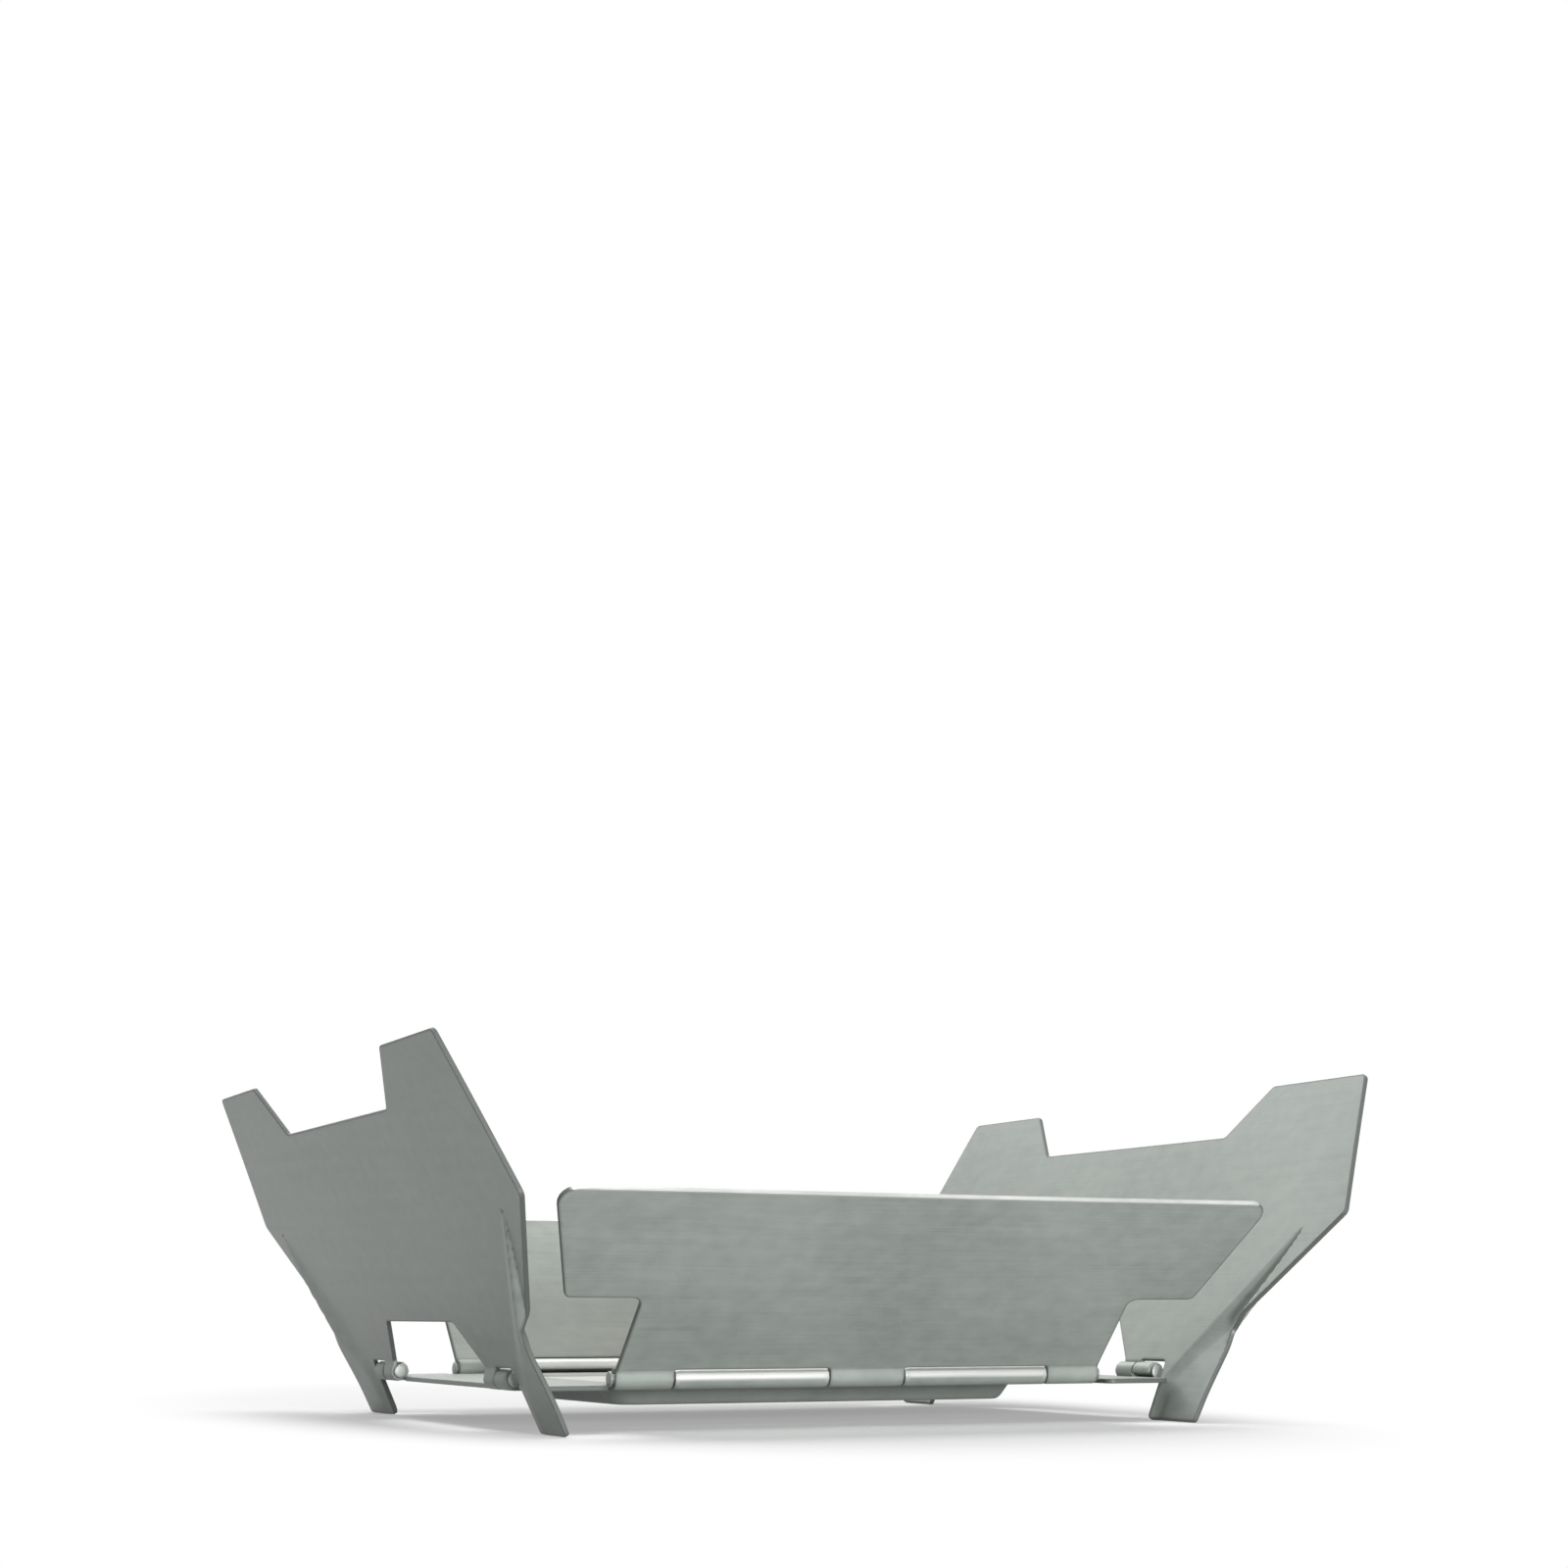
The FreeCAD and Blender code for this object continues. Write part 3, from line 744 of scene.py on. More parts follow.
@dataclass
class Windshield(Panel):
    """A side panel that leans outwards, with ears above its notched corners and knuckles at its hinge."""

    lean: float = 42.8
    top: Pair = (47.4, 28.7)
    ear: Pair = (42.2, 12.8)
    neck: float = 32.8
    middle_knuckle: float = 5.0
    base_knuckle: float = 20.1
    # Depth and fade of the painted highlight along the top edge.
    rub_depth: float = 0.3
    rub_fade: float = 0.12
    bow: float = 0.1
    bow_rise: float = 10.0
    bow_wave: float = 23.0
    bow_shift: float = -0.5

    @property
    def outer_knuckle(self) -> float:
        """Inner end of the outer knuckles, from the middle."""
        return self.middle_knuckle + self.base_knuckle + 2 * self.hinge.gap

    def blank(self) -> Array:
        """Corners of the windshield's blank with their radii, its right half and the mirror image of it.

        Returns:
            The corners, (n, 3), anticlockwise.
        """
        clear = self.hinge.clear
        half = np.array([
            (*self.top, 2.0),
            (*self.ear, 1.0),
            (self.neck, self.ear[1], 1.2),
            (self.neck, self.tab_end, 0.3),
            (self.outer_knuckle, self.tab_end, 0.3),
            (self.outer_knuckle, clear, 0.5),
            (self.middle_knuckle, clear, 0.5),
            (self.middle_knuckle, self.tab_end, 0.3),
        ])
        return mirrored(half)

    def seeds(self) -> Array:
        """An even grid and close rows round the knuckles."""
        body = lattice((-self.top[0], self.root), self.top, self.mesh_step)
        return np.concatenate([body, self.tab_rows(self.tab_trim[1] - self.neck, self.neck)])

    def on_tab(self, flat: Array) -> Array:
        """Points below the hinge's cut edges."""
        return flat[:, 1] < self.hinge.clear

    def burnish(self, flat: Array) -> Array:
        """Painted highlight from 0 to 1 along the top edge, over its last part."""
        return ease((flat[:, 1] - self.top[1] + self.rub_depth) / self.rub_fade)

    def form(self, flat: Array, level: Array) -> Array:
        """Bow the sheet a little, roll the tabs and stand the windshield on its hinge.

        Args:
            flat: Points of the blank.
            level: Place of each point in the thickness, of no weight here.

        Returns:
            Places in the stove's frame.
        """
        across, up = flat.T
        wave = 1.0 + np.cos(across / self.bow_wave + self.bow_shift)
        bow = self.bow * ease((up - self.hinge.clear) / self.bow_rise) * wave
        return self.stood(flat, self.hinge.shield_axis, up, bow)


@dataclass
class BasePlate(Pressing):
    """The base: flat sheet with a pressed well, rolled knuckles on its four sides and corner lugs."""

    end_setback: float = 0.4
    window: float = 19.0
    wing_knuckle: float = 3.8
    end_knuckle: float = 3.8
    head_room: float = 0.8
    lug: Pair = (43.0, 31.4)
    lug_foot: float = 33.8
    lug_room: Pair = (1.0, 4.0)
    side_knuckle: Pair = (5.2, 25.3)
    side_room: float = 1.0
    well: Pair = (28.4, 18.2)
    well_corner: float = 4.0
    well_depth: float = 2.2
    well_slope: float = 30.0
    well_bend: float = 0.5
    wall_band: Pair = (0.7, 1.9)
    wall_margin: float = 1.5
    wall_step: Pair = (0.42, 0.42)
    plain_edge: float = 2.5
    rows_start: float = 2.4
    rows_beyond: float = 3.0
    # Start and fade of the painted highlight on the side knuckles' upper halves, in radians round the roll.
    rub_start: float = 1.25
    rub_fade: float = 0.3
    wrap: float = 280.0

    @property
    def tab(self) -> float:
        """Length of a tab beyond its hinge axis on the flat blank."""
        return self.hinge.roll * math.radians(self.wrap)

    @property
    def cut_edges(self) -> Pair:
        """Distances of the cut edges beside the end knuckles and the side knuckles from the middle."""
        return self.hinge.wing_axis - self.hinge.clear, self.hinge.shield_axis - self.hinge.clear

    @property
    def end_span(self) -> Pair:
        """Inner and outer end of an end knuckle, from the middle."""
        start = self.window + self.wing_knuckle + self.hinge.gap
        return start, start + self.end_knuckle

    @property
    def roll_side(self) -> float:
        """Distance from the middle up to which the front and rear edges are rolled."""
        return self.side_knuckle[1] + self.side_room

    def blank(self) -> Array:
        """Corners of the base's blank with their radii, one quarter repeated with its mirror images.

        Returns:
            The corners, (n, 3), anticlockwise.
        """
        end, side = self.cut_edges
        start, stop = self.end_span
        edge = self.window - self.head_room
        end_tip, side_tip = self.hinge.wing_axis + self.tab, self.hinge.shield_axis + self.tab
        quarter = np.array([
            (self.hinge.wing_axis - self.end_setback, edge, 0.5),
            (end, edge, 0.5),
            (end, start, 0.5),
            (end_tip, start, 0.25),
            (end_tip, stop, 0.25),
            (end, stop, 0.35),
            (end, stop + self.head_room, 0.28),
            (self.lug[0], stop + self.head_room, 0.22),
            (*self.lug, 1.0),
            (self.lug_foot, self.lug[1], 1.0),
            (self.lug_foot, side, 0.8),
            (self.side_knuckle[1], side, 0.5),
            (self.side_knuckle[1], side_tip, 0.3),
            (self.side_knuckle[0], side_tip, 0.3),
            (self.side_knuckle[0], side, 0.5),
        ])
        right = np.concatenate([quarter[::-1] * [1.0, -1.0, 1.0], quarter])
        return np.concatenate([right, right[::-1] * [-1.0, 1.0, 1.0]])

    def seeds(self) -> Array:
        """An even grid, close rows round the knuckles and a fine grid over the well's walls.

        Returns:
            Points of the blank.
        """
        end, side = self.hinge.wing_axis, self.hinge.shield_axis
        body = lattice((-end, -side), (end, side), self.mesh_step)
        plain = np.all(np.abs(body) < [end - self.plain_edge, side - self.plain_edge], axis=1)
        body = body[plain & (self.from_wall(body) > self.wall_band[1])]
        corner = np.add(self.well, self.wall_margin)
        walls = lattice(-corner, corner, self.wall_step)
        walls = walls[self.from_wall(walls) < self.wall_band[1]]
        knuckle = self.side_knuckle[1]
        front = lattice((-knuckle, side - self.rows_start), (knuckle, side + self.tab), self.tab_step)
        ends = lattice((end - self.rows_start, self.window), (end + self.tab, knuckle + self.rows_beyond),
                       self.tab_step[::-1])
        rows = [front, front * [1, -1], ends, ends * [-1, 1], ends * [1, -1], -ends]
        return np.concatenate([body, walls, *rows])

    def well_distance(self, across: Array, along: Array) -> Array:
        """Distance inwards from the well's mouth, a rectangle with rounded corners.

        Args:
            across: Distances along the base.
            along: Distances across the base.

        Returns:
            Distances, positive inside the mouth.
        """
        x = np.abs(across) - self.well[0] + self.well_corner
        y = np.abs(along) - self.well[1] + self.well_corner
        from_corner = np.hypot(np.maximum(x, 0), np.maximum(y, 0))
        return self.well_corner - from_corner - np.minimum(np.maximum(x, y), 0)

    def from_wall(self, flat: Array) -> Array:
        """Distances of points of the blank from the middle of the well's wall."""
        return np.abs(self.well_distance(*flat.T) - self.wall_band[0])

    def on_tab(self, flat: Array) -> Array:
        """Points beyond the cut edges beside the knuckles, apart from the corner lugs.

        Args:
            flat: Points of the blank.

        Returns:
            A mask of the points.
        """
        across, along = np.abs(flat.T)
        end, side = self.cut_edges
        beyond_end = (across > end) & (along < self.lug[1] - self.lug_room[1])
        beyond_side = (along > side) & (across < self.lug_foot - self.lug_room[0])
        return beyond_side | beyond_end

    def burnish(self, flat: Array) -> Array:
        """Paint a highlight on the upper halves of the side knuckles, from just below the roll's outermost
        line on.

        Args:
            flat: Points of the blank.

        Returns:
            Strength of the painted highlight from 0 to 1.
        """
        across, along = np.abs(flat.T)
        turned = (along - self.hinge.shield_axis) / self.hinge.roll
        return np.where(across < self.roll_side, ease((turned - self.rub_start) / self.rub_fade), 0.0)

    def form(self, flat: Array, level: Array) -> Array:
        """Press the well and roll the tabs upwards round the four hinges.

        The well sinks with an eased slope from its mouth; beyond an axis a tab goes round it on a circle.

        Args:
            flat: Points of the blank.
            level: Place of each point in the thickness, of no weight here.

        Returns:
            Places in the stove's frame.
        """
        across, along = flat.T
        roll = self.hinge.roll
        run = self.well_depth * math.tan(math.radians(self.well_slope)) + 2 * self.well_bend
        sunk = self.well_depth * ease((self.well_distance(across, along) + self.well_bend) / run)
        past_side = np.where(np.abs(across) < self.roll_side, np.abs(along) - self.hinge.shield_axis, 0.0)
        past_end = np.abs(across) - self.hinge.wing_axis
        side, end = np.maximum(past_side, 0.0) / roll, np.maximum(past_end, 0.0) / roll
        x = np.where(end > 0, np.sign(across) * (self.hinge.wing_axis + roll * np.sin(end)), across)
        y = np.where(side > 0, np.sign(along) * (self.hinge.shield_axis + roll * np.sin(side)), along)
        z = self.hinge.height - roll * np.cos(side) * np.cos(end) - sunk
        return np.column_stack([x, y, z])


@dataclass
class HingePin(Part):
    """A hinge wire with both ends peened over, along the windshields' hinges or the wings'."""

    stock: ClassVar[str] = "wire"
    slot: ClassVar[Slot] = Slot.WIRE
    centre: Pair
    half_length: float
    along_shield: bool
    head_radius: float = 0.9
    head: float = 0.4
    dome_rows: int = 7
    dome_powers: Pair = (0.8, 0.6)
    rim_share: float = 0.97
    rim_height: float = 0.05
    wire_rows: int = 12
    around: int = 28

    def section(self) -> tuple[Array, Array]:
        """Half section of the pin: over one low domed head, along the wire and over the other head.

        Over a head's quarter turn t the radius grows as a power of sin(t), and the height falls to its half
        with a power of cos(t).

        Returns:
            The radii and the places along the axis.
        """
        dome = np.linspace(0.0, 0.5 * np.pi, self.dome_rows)
        spread, arch = self.dome_powers
        head = np.append(self.head_radius * np.sin(dome) ** spread, self.head_radius * self.rim_share)
        radius = np.append(head, self.hinge.pin_radius)
        rise = np.append(self.head * (0.5 + 0.5 * np.cos(dome) ** arch), [self.rim_height, 0.0])
        reach = self.half_length + rise
        wire = np.linspace(1.0, -1.0, self.wire_rows)[1:-1] * self.half_length
        radii = np.concatenate([radius, np.full(len(wire), self.hinge.pin_radius), radius[::-1]])
        return radii, np.concatenate([reach, wire, -reach[::-1]])

    def shell(self) -> Shell:
        """Carry the pin's section round its axis, and close both ends with a fan round one point.

        Returns:
            The closed shell of the pin.
        """
        radius, reach = self.section()
        angle = np.linspace(0.0, 2 * np.pi, self.around, endpoint=False)
        turns = np.stack([np.cos(angle), np.sin(angle)], axis=-1)
        length = np.repeat(reach, self.around)
        spread = (radius[:, None, None] * turns).reshape(-1, 2)
        tilt = unit(np.column_stack([np.gradient(radius), -np.gradient(reach)]))
        tilt[[0, -1], 1] = 0.0
        sideways = (tilt[:, 1, None, None] * turns).reshape(-1, 2)
        shading = np.column_stack([np.repeat(tilt[:, 0], self.around), sideways])
        order, way = ([0, 1, 2], [1, 1, 1]) if self.along_shield else ([1, 0, 2], [-1, 1, 1])
        points = np.column_stack([length, spread])[:, order] * way + [*self.centre, self.hinge.height]
        normals = shading[:, order] * way
        grid = np.arange(len(points)).reshape(-1, self.around)
        after = np.roll(grid, -1, axis=1)
        first, last = np.full(self.around, grid[0, -1]), np.full(self.around, grid[-1, 0])
        fans = np.concatenate([np.column_stack([first, grid[1], after[1]]),
                               np.column_stack([last, after[-2], grid[-2]])])
        flat = np.column_stack([length, np.tile(angle * self.hinge.pin_radius, len(reach))])
        spare = self.around - 1
        kept = slice(spare, len(points) - spare)
        return Shell(points[kept], unit(normals[kept]), flat[kept], [bands(grid[1:-1]) - spare, fans - spare])


@dataclass
class FuelTablet(Part):
    """A pressed fuel tablet on the floor of the well, with break lines across its top."""

    stock: ClassVar[str] = "block"
    slot: ClassVar[Slot] = Slot.FUEL
    base: BasePlate
    margin: float = 0.5
    drop: float = 0.2
    corner: float = 2.2
    edge: float = 0.55
    lines: int = 3
    line_width: float = 1.0
    line_depth: float = 0.6
    line_room: float = 0.4
    bump: float = 0.018
    seed: int = 7
    corner_rows: int = 9
    rows: int = 230
    columns: int = 81
    crowding: float = 0.35
    least_step: float = 1e-3
    foot_tilt: float = 0.5
    bottom_uv: float = 60.0

    def plan(self) -> Pair:
        """Half length and half width of the tablet on the well's floor."""
        run = self.base.well_depth * math.tan(math.radians(self.base.well_slope)) + self.margin
        return self.base.well[0] - run, self.base.well[1] - run

    def grid(self) -> tuple[Array, Array, Array]:
        """Spread rows and columns over the rounded plan.

        The plan's half width follows the corner circle near both ends.

        Returns:
            Both places of each grid point and its distance from the rim.
        """
        length, width = self.plan()
        inner = length - self.corner
        bend = self.corner * (1.0 - np.cos(np.linspace(0.0, 0.5 * np.pi, self.corner_rows)))
        straight = np.linspace(-inner, inner, self.rows)[1:-1]
        x = np.concatenate([bend - length, straight, length - bend[::-1]])
        crowded = np.sin(np.linspace(-0.5, 0.5, self.columns) * np.pi)
        share = self.crowding * crowded + (1.0 - self.crowding) * np.linspace(-1.0, 1.0, self.columns)
        over = np.maximum(np.abs(x) - length + self.corner, 0.0)
        half = width - self.corner + np.sqrt(np.maximum(self.corner**2 - over**2, 0.0))
        gx, gy = np.broadcast_arrays(x[:, None], half[:, None] * share[None, :])
        return gx, gy, np.minimum(length - np.abs(gx), half[:, None] - np.abs(gy))

    def fall(self, x: Array, rim: Array) -> Array:
        """Depth of the top's points below its level.

        The top falls by a quarter circle near the rim, dips in eased grooves at the break lines and is rough
        with small random bumps.

        Args:
            x: Places along the tablet.
            rim: Distances from the rim.

        Returns:
            The depths.
        """
        edge = self.edge - np.sqrt(np.maximum(self.edge**2 - np.maximum(self.edge - rim, 0.0) ** 2, 0.0))
        length, _ = self.plan()
        pitch = 2.0 * length / (self.lines + 1)
        aside = np.abs((x / pitch + 0.5 * (self.lines + 1)) % 1.0 * pitch - 0.5 * pitch)
        nearest = 0.5 * pitch - aside
        groove = self.line_depth * (1.0 - ease(nearest / (0.5 * self.line_width)))
        groove = groove * (np.abs(x) < length - self.line_room * pitch)
        return edge + groove + np.abs(np.random.default_rng(self.seed).normal(0.0, self.bump, x.shape))

    def shell(self) -> Shell:
        """Raise the top over the plan and join it to the bottom with an upright wall.

        Returns:
            The closed shell of the tablet.
        """
        gx, gy, rim = self.grid()
        floor = self.hinge.height - self.hinge.pin_radius - self.hinge.clearance - self.base.well_depth
        height = floor + self.base.well_depth - self.drop - self.fall(gx, rim)
        top = np.column_stack([gx.ravel(), gy.ravel(), height.ravel()])
        bottom = top * [1, 1, 0] + [0, 0, floor]
        grid = np.arange(gx.size).reshape(gx.shape)
        quads = np.stack([grid[:-1, :-1], grid[1:, :-1], grid[1:, 1:], grid[:-1, 1:]], axis=-1).reshape(-1, 4)
        ring = np.concatenate([grid[:-1, 0], grid[-1, :-1], grid[:0:-1, -1], grid[0, :0:-1]])
        wall = bands(np.stack([ring, ring + grid.size]))
        slope_x, slope_y = np.gradient(height)
        slope_x = slope_x / np.maximum(np.gradient(gx, axis=0), self.least_step)
        slope_y = slope_y / np.maximum(np.gradient(gy, axis=1), self.least_step)
        up = unit(np.column_stack([-slope_x.ravel(), -slope_y.ravel(), np.ones(grid.size)]))
        outward = unit(bottom * [1, 1, 0] / [*self.plan(), 1])
        down = unit(outward - [0, 0, self.foot_tilt])
        down[rim.ravel() > SMALL] = [0, 0, -1]
        points = np.concatenate([top, bottom])
        flat = points[:, :2] + np.repeat([[0, 0], [0, self.bottom_uv]], grid.size, axis=0)
        return Shell(points, np.concatenate([up, down]), flat, [quads, quads[:, ::-1] + grid.size, wall])


Value = Union["Wire", float]


class Wire:
    """An output socket that takes part in arithmetic: every operation adds its Math node."""

    def __init__(self, bench: "Bench", socket: bpy.types.NodeSocket) -> None:
        """Hold a socket of a bench's tree."""
        self.bench = bench
        self.socket = socket

    def __add__(self, other: Value) -> "Wire":
        """Sum."""
        return self.bench.math("ADD", self, other)

    def __radd__(self, other: Value) -> "Wire":
        """Sum."""
        return self.bench.math("ADD", other, self)

    def __sub__(self, other: Value) -> "Wire":
        """Difference."""
        return self.bench.math("SUBTRACT", self, other)

    def __rsub__(self, other: Value) -> "Wire":
        """Difference from a number."""
        return self.bench.math("SUBTRACT", other, self)

    def __mul__(self, other: Value) -> "Wire":
        """Product."""
        return self.bench.math("MULTIPLY", self, other)

    def __rmul__(self, other: Value) -> "Wire":
        """Product."""
        return self.bench.math("MULTIPLY", other, self)

    def between(self, low: float, high: float) -> "Wire":
        """Ease from 0 at the low value to 1 at the high one."""
        return self.bench.node("ShaderNodeMapRange", {"interpolation_type": "SMOOTHSTEP"},
                               {"Value": self, "From Min": low, "From Max": high})


@dataclass(frozen=True)
class Pattern:
    """A noise on a piece's own coordinates: cycles per unit along both axes, turn in degrees and octaves."""

    stretch: Pair
    turn: float = 0.0
    detail: float = 3.0


class Bench:
    """A material's node tree with its surface shader, to which nodes are added by type."""

    def __init__(self, name: str) -> None:
        """Start a material with one Principled shader.

        Args:
            name: Name of the material.
        """
        self.material = bpy.data.materials.new(name)
        self.material.use_nodes = True
        self.tree = self.material.node_tree
        self.surface = self.tree.nodes["Principled BSDF"]

    def node(self, kind: str, settings: dict[str, Any], sockets: dict[Union[int, str], Any],
             output: Union[int, str] = 0) -> Wire:
        """Add a node.

        Args:
            kind: Node type.
            settings: Properties, set first.
            sockets: Values or wires by socket name or number.
            output: Output to return.

        Returns:
            The chosen output as a wire.
        """
        made = self.tree.nodes.new(kind)
        for key, value in settings.items():
            setattr(made, key, value)
        for key, value in sockets.items():
            self.feed(made.inputs[key], value)
        return Wire(self, made.outputs[output])

    def feed(self, socket: bpy.types.NodeSocket, value: Any) -> None:
        """Link a wire to a socket, or set its value.

        Args:
            socket: Input socket.
            value: A wire, a number, a vector or a colour.
        """
        if isinstance(value, Wire):
            self.tree.links.new(value.socket, socket)
        elif socket.type == "RGBA" and len(value) == 3:
            socket.default_value = (*value, 1.0)
        else:
            socket.default_value = value

    def dress(self, values: dict[str, Any]) -> None:
        """Feed sockets of the surface shader.

        Args:
            values: Values or wires by socket name.
        """
        for name, value in values.items():
            self.feed(self.surface.inputs[name], value)

    def math(self, operation: str, first: Value, second: Value) -> Wire:
        """Add a Math node."""
        return self.node("ShaderNodeMath", {"operation": operation}, {0: first, 1: second})

    def mix(self, share: Value, first: Any, second: Any) -> Wire:
        """Blend two colours by a share.

        Args:
            share: 0 for the first colour, 1 for the second.
            first: Colour or wire.
            second: Colour or wire.

        Returns:
            The blended colour.
        """
        return self.node("ShaderNodeMix", {"data_type": "RGBA", "clamp_factor": True},
                         {"Factor": share, 6: first, 7: second}, 2)

    def mask(self, name: str) -> Wire:
        """Read one of a piece's masks."""
        return self.node("ShaderNodeAttribute", {"attribute_name": name}, {}, "Fac")

    def noise(self, place: Wire, pattern: Pattern) -> Wire:
        """Noise on turned and stretched coordinates.

        Args:
            place: Coordinates.
            pattern: Stretch, turn and octaves of the noise.

        Returns:
            Values about 0.5.
        """
        rotation = (0.0, 0.0, math.radians(pattern.turn))
        turned = self.node("ShaderNodeMapping", {}, {"Vector": place, "Rotation": rotation})
        spot = self.node("ShaderNodeMapping", {}, {"Vector": turned, "Scale": (*pattern.stretch, 1.0)})
        return self.node("ShaderNodeTexNoise", {}, {"Vector": spot, "Scale": 1.0, "Detail": pattern.detail})

    @staticmethod
    def about(middle: float, weights: Sequence[float], noises: Sequence[Wire]) -> Value:
        """Spread noises about a middle value: middle + the sum of weight times (noise - 0.5).

        Args:
            middle: Value where every noise is 0.5.
            weights: Weights of the noises.
            noises: Noises, each about 0.5.

        Returns:
            The sum.
        """
        total: Value = middle
        for weight, noise in zip(weights, noises):
            total = total + weight * (noise - 0.5)
        return total

    def bump(self, height: Wire, strength: float, distance: float) -> Wire:
        """Normal of a surface that is raised by a height.

        Args:
            height: Height from 0 to 1.
            strength: Share of the bump.
            distance: Size of the bump in metres.

        Returns:
            The normal.
        """
        return self.node("ShaderNodeBump", {}, {"Height": height, "Strength": strength, "Distance": distance})


@dataclass(frozen=True)
class Finish:
    """A surface finish that can dress a piece."""

    name: str = "finish"

    def material(self) -> bpy.types.Material:
        """Make the finish's material."""
        raise NotImplementedError

    def dress(self, piece: bpy.types.Object) -> None:
        """Give a piece this finish.

        Args:
            piece: Piece with no material yet.
        """
        piece.data.materials.append(bpy.data.materials.get(self.name) or self.material())


@dataclass(frozen=True)
class SatinSheet(Finish):
    """Zinc-grey rolled sheet: fine grain along the rolling, soft clouds, faint scratches, dark cut edges,
    painted flame light and painted highlights.
    """

    name: str = "satin_zinc_sheet"
    dark: Triple = (0.265, 0.297, 0.276)
    light: Triple = (0.420, 0.452, 0.424)
    cut: Triple = (0.105, 0.115, 0.108)
    # Bare metal of the scratches, and also the colour of the painted highlights.
    bare: Triple = (0.78, 0.79, 0.76)
    # Straw colour of the painted light of the fuel's flame.
    straw: Triple = (0.46, 0.43, 0.36)
    metallic: float = 0.22
    specular: float = 0.25
    roughness: float = 0.46
    grain: Pattern = Pattern((5.0, 420.0), detail=5.0)
    streaks: Pattern = Pattern((2.6, 64.0), turn=2.0, detail=4.0)
    clouds: Pattern = Pattern((3.2, 4.6), turn=25.0)
    mottle: Pattern = Pattern((38.0, 52.0), detail=6.0)
    scratches: Pattern = Pattern((7.0, 520.0), turn=17.0, detail=1.0)
    scratch_cut: Pair = (0.735, 0.79)
    cross_scratches: Pattern = Pattern((430.0, 9.0), turn=-31.0, detail=1.0)
    cross_cut: Pair = (0.745, 0.80)
    scratched_places: Pattern = Pattern((9.0, 9.0))
    places_cut: Pair = (0.42, 0.72)
    tone_middle: float = 0.5
    tone_weights: tuple[float, float, float, float] = (0.6, 0.4, 1.4, 0.9)
    rough_weights: Triple = (0.16, 0.20, 0.12)
    relief_weights: Triple = (0.5, 0.25, 0.5)
    # Share of the painted flame light.
    warm_share: float = 0.55
    scratch_share: float = 0.35
    cut_share: float = 0.85
    # Painted highlight: streaks and mottle that break it up, and its gains in gloss and metal.
    rub_streaks: Triple = (0.55, 1.1, 0.2)
    rub_mottle: Pair = (1.2, 0.5)
    rub_gloss: float = 0.12
    rub_metal: float = 0.45
    bump_strength: float = 0.12
    bump_size: float = 0.00005

    def material(self) -> bpy.types.Material:
        """Build the sheet's nodes on its blank's coordinates.

        The tone is a weighted sum of grain, streaks, clouds and mottle about its middle. Painted flame light
        turns places near the fuel to straw, scratches and painted highlights to bare metal, and cut edges to
        dark.

        Returns:
            The material.
        """
        bench = Bench(self.name)
        place = bench.node("ShaderNodeUVMap", {"uv_map": "blank"}, {})
        edge, warm, bright = bench.mask("edge"), bench.mask("warm"), bench.mask("bright")
        grain, streaks = bench.noise(place, self.grain), bench.noise(place, self.streaks)
        clouds, mottle = bench.noise(place, self.clouds), bench.noise(place, self.mottle)
        scratch = bench.noise(place, self.scratches).between(*self.scratch_cut)
        scratch = scratch + bench.noise(place, self.cross_scratches).between(*self.cross_cut)
        scratch = scratch * bench.noise(place, self.scratched_places).between(*self.places_cut)
        tone = bench.about(self.tone_middle, self.tone_weights, (grain, streaks, clouds, mottle))
        colour = bench.mix(tone, self.dark, self.light)
        # Painted light of the fuel's flame, straw-coloured.
        colour = bench.mix(warm * self.warm_share, colour, self.straw)
        colour = bench.mix(self.scratch_share * scratch, colour, self.bare)
        colour = bench.mix(self.cut_share * edge, colour, self.cut)
        least, gain, start = self.rub_streaks
        most, loss = self.rub_mottle
        # Painted highlight on the windshields' top edges and the side knuckles' upper halves, streaked and
        # mottled.
        highlight_amount = bright * (least + gain * (streaks - start)) * (most - loss * mottle)
        rough = bench.about(self.roughness, self.rough_weights, (grain, clouds, mottle))
        fine, coarse, deep = self.relief_weights
        relief = fine * grain + coarse * mottle - deep * scratch
        bench.dress({
            "Base Color": bench.mix(highlight_amount, colour, self.bare),
            "Roughness": rough - self.rub_gloss * bright,
            "Metallic": self.metallic + self.rub_metal * bright,
            "Specular IOR Level": self.specular,
            "Normal": bench.bump(relief, self.bump_strength, self.bump_size),
        })
        return bench.material


@dataclass(frozen=True)
class DrawnWire(Finish):
    """Bright drawn wire with fine lines along its length."""

    name: str = "drawn_wire"
    colour: Triple = (0.38, 0.40, 0.38)
    shade: Triple = (0.28, 0.30, 0.285)
    metallic: float = 0.45
    roughness: float = 0.44
    lines: Pattern = Pattern((12.0, 900.0), detail=4.0)
    stain: Pattern = Pattern((60.0, 60.0))
    tone_weights: Pair = (0.6, 0.5)
    rough_weight: float = 0.2
    bump_strength: float = 0.15
    bump_size: float = 0.00003

    def material(self) -> bpy.types.Material:
        """Build the wire's nodes on its length and girth.

        Returns:
            The material.
        """
        bench = Bench(self.name)
        place = bench.node("ShaderNodeUVMap", {"uv_map": "blank"}, {})
        lines, stain = bench.noise(place, self.lines), bench.noise(place, self.stain)
        tone = lines * self.tone_weights[0] + stain * self.tone_weights[1]
        bench.dress({
            "Base Color": bench.mix(tone, self.shade, self.colour),
            "Roughness": bench.about(self.roughness, [self.rough_weight], [stain]),
            "Metallic": self.metallic,
            "Normal": bench.bump(lines, self.bump_strength, self.bump_size),
        })
        return bench.material


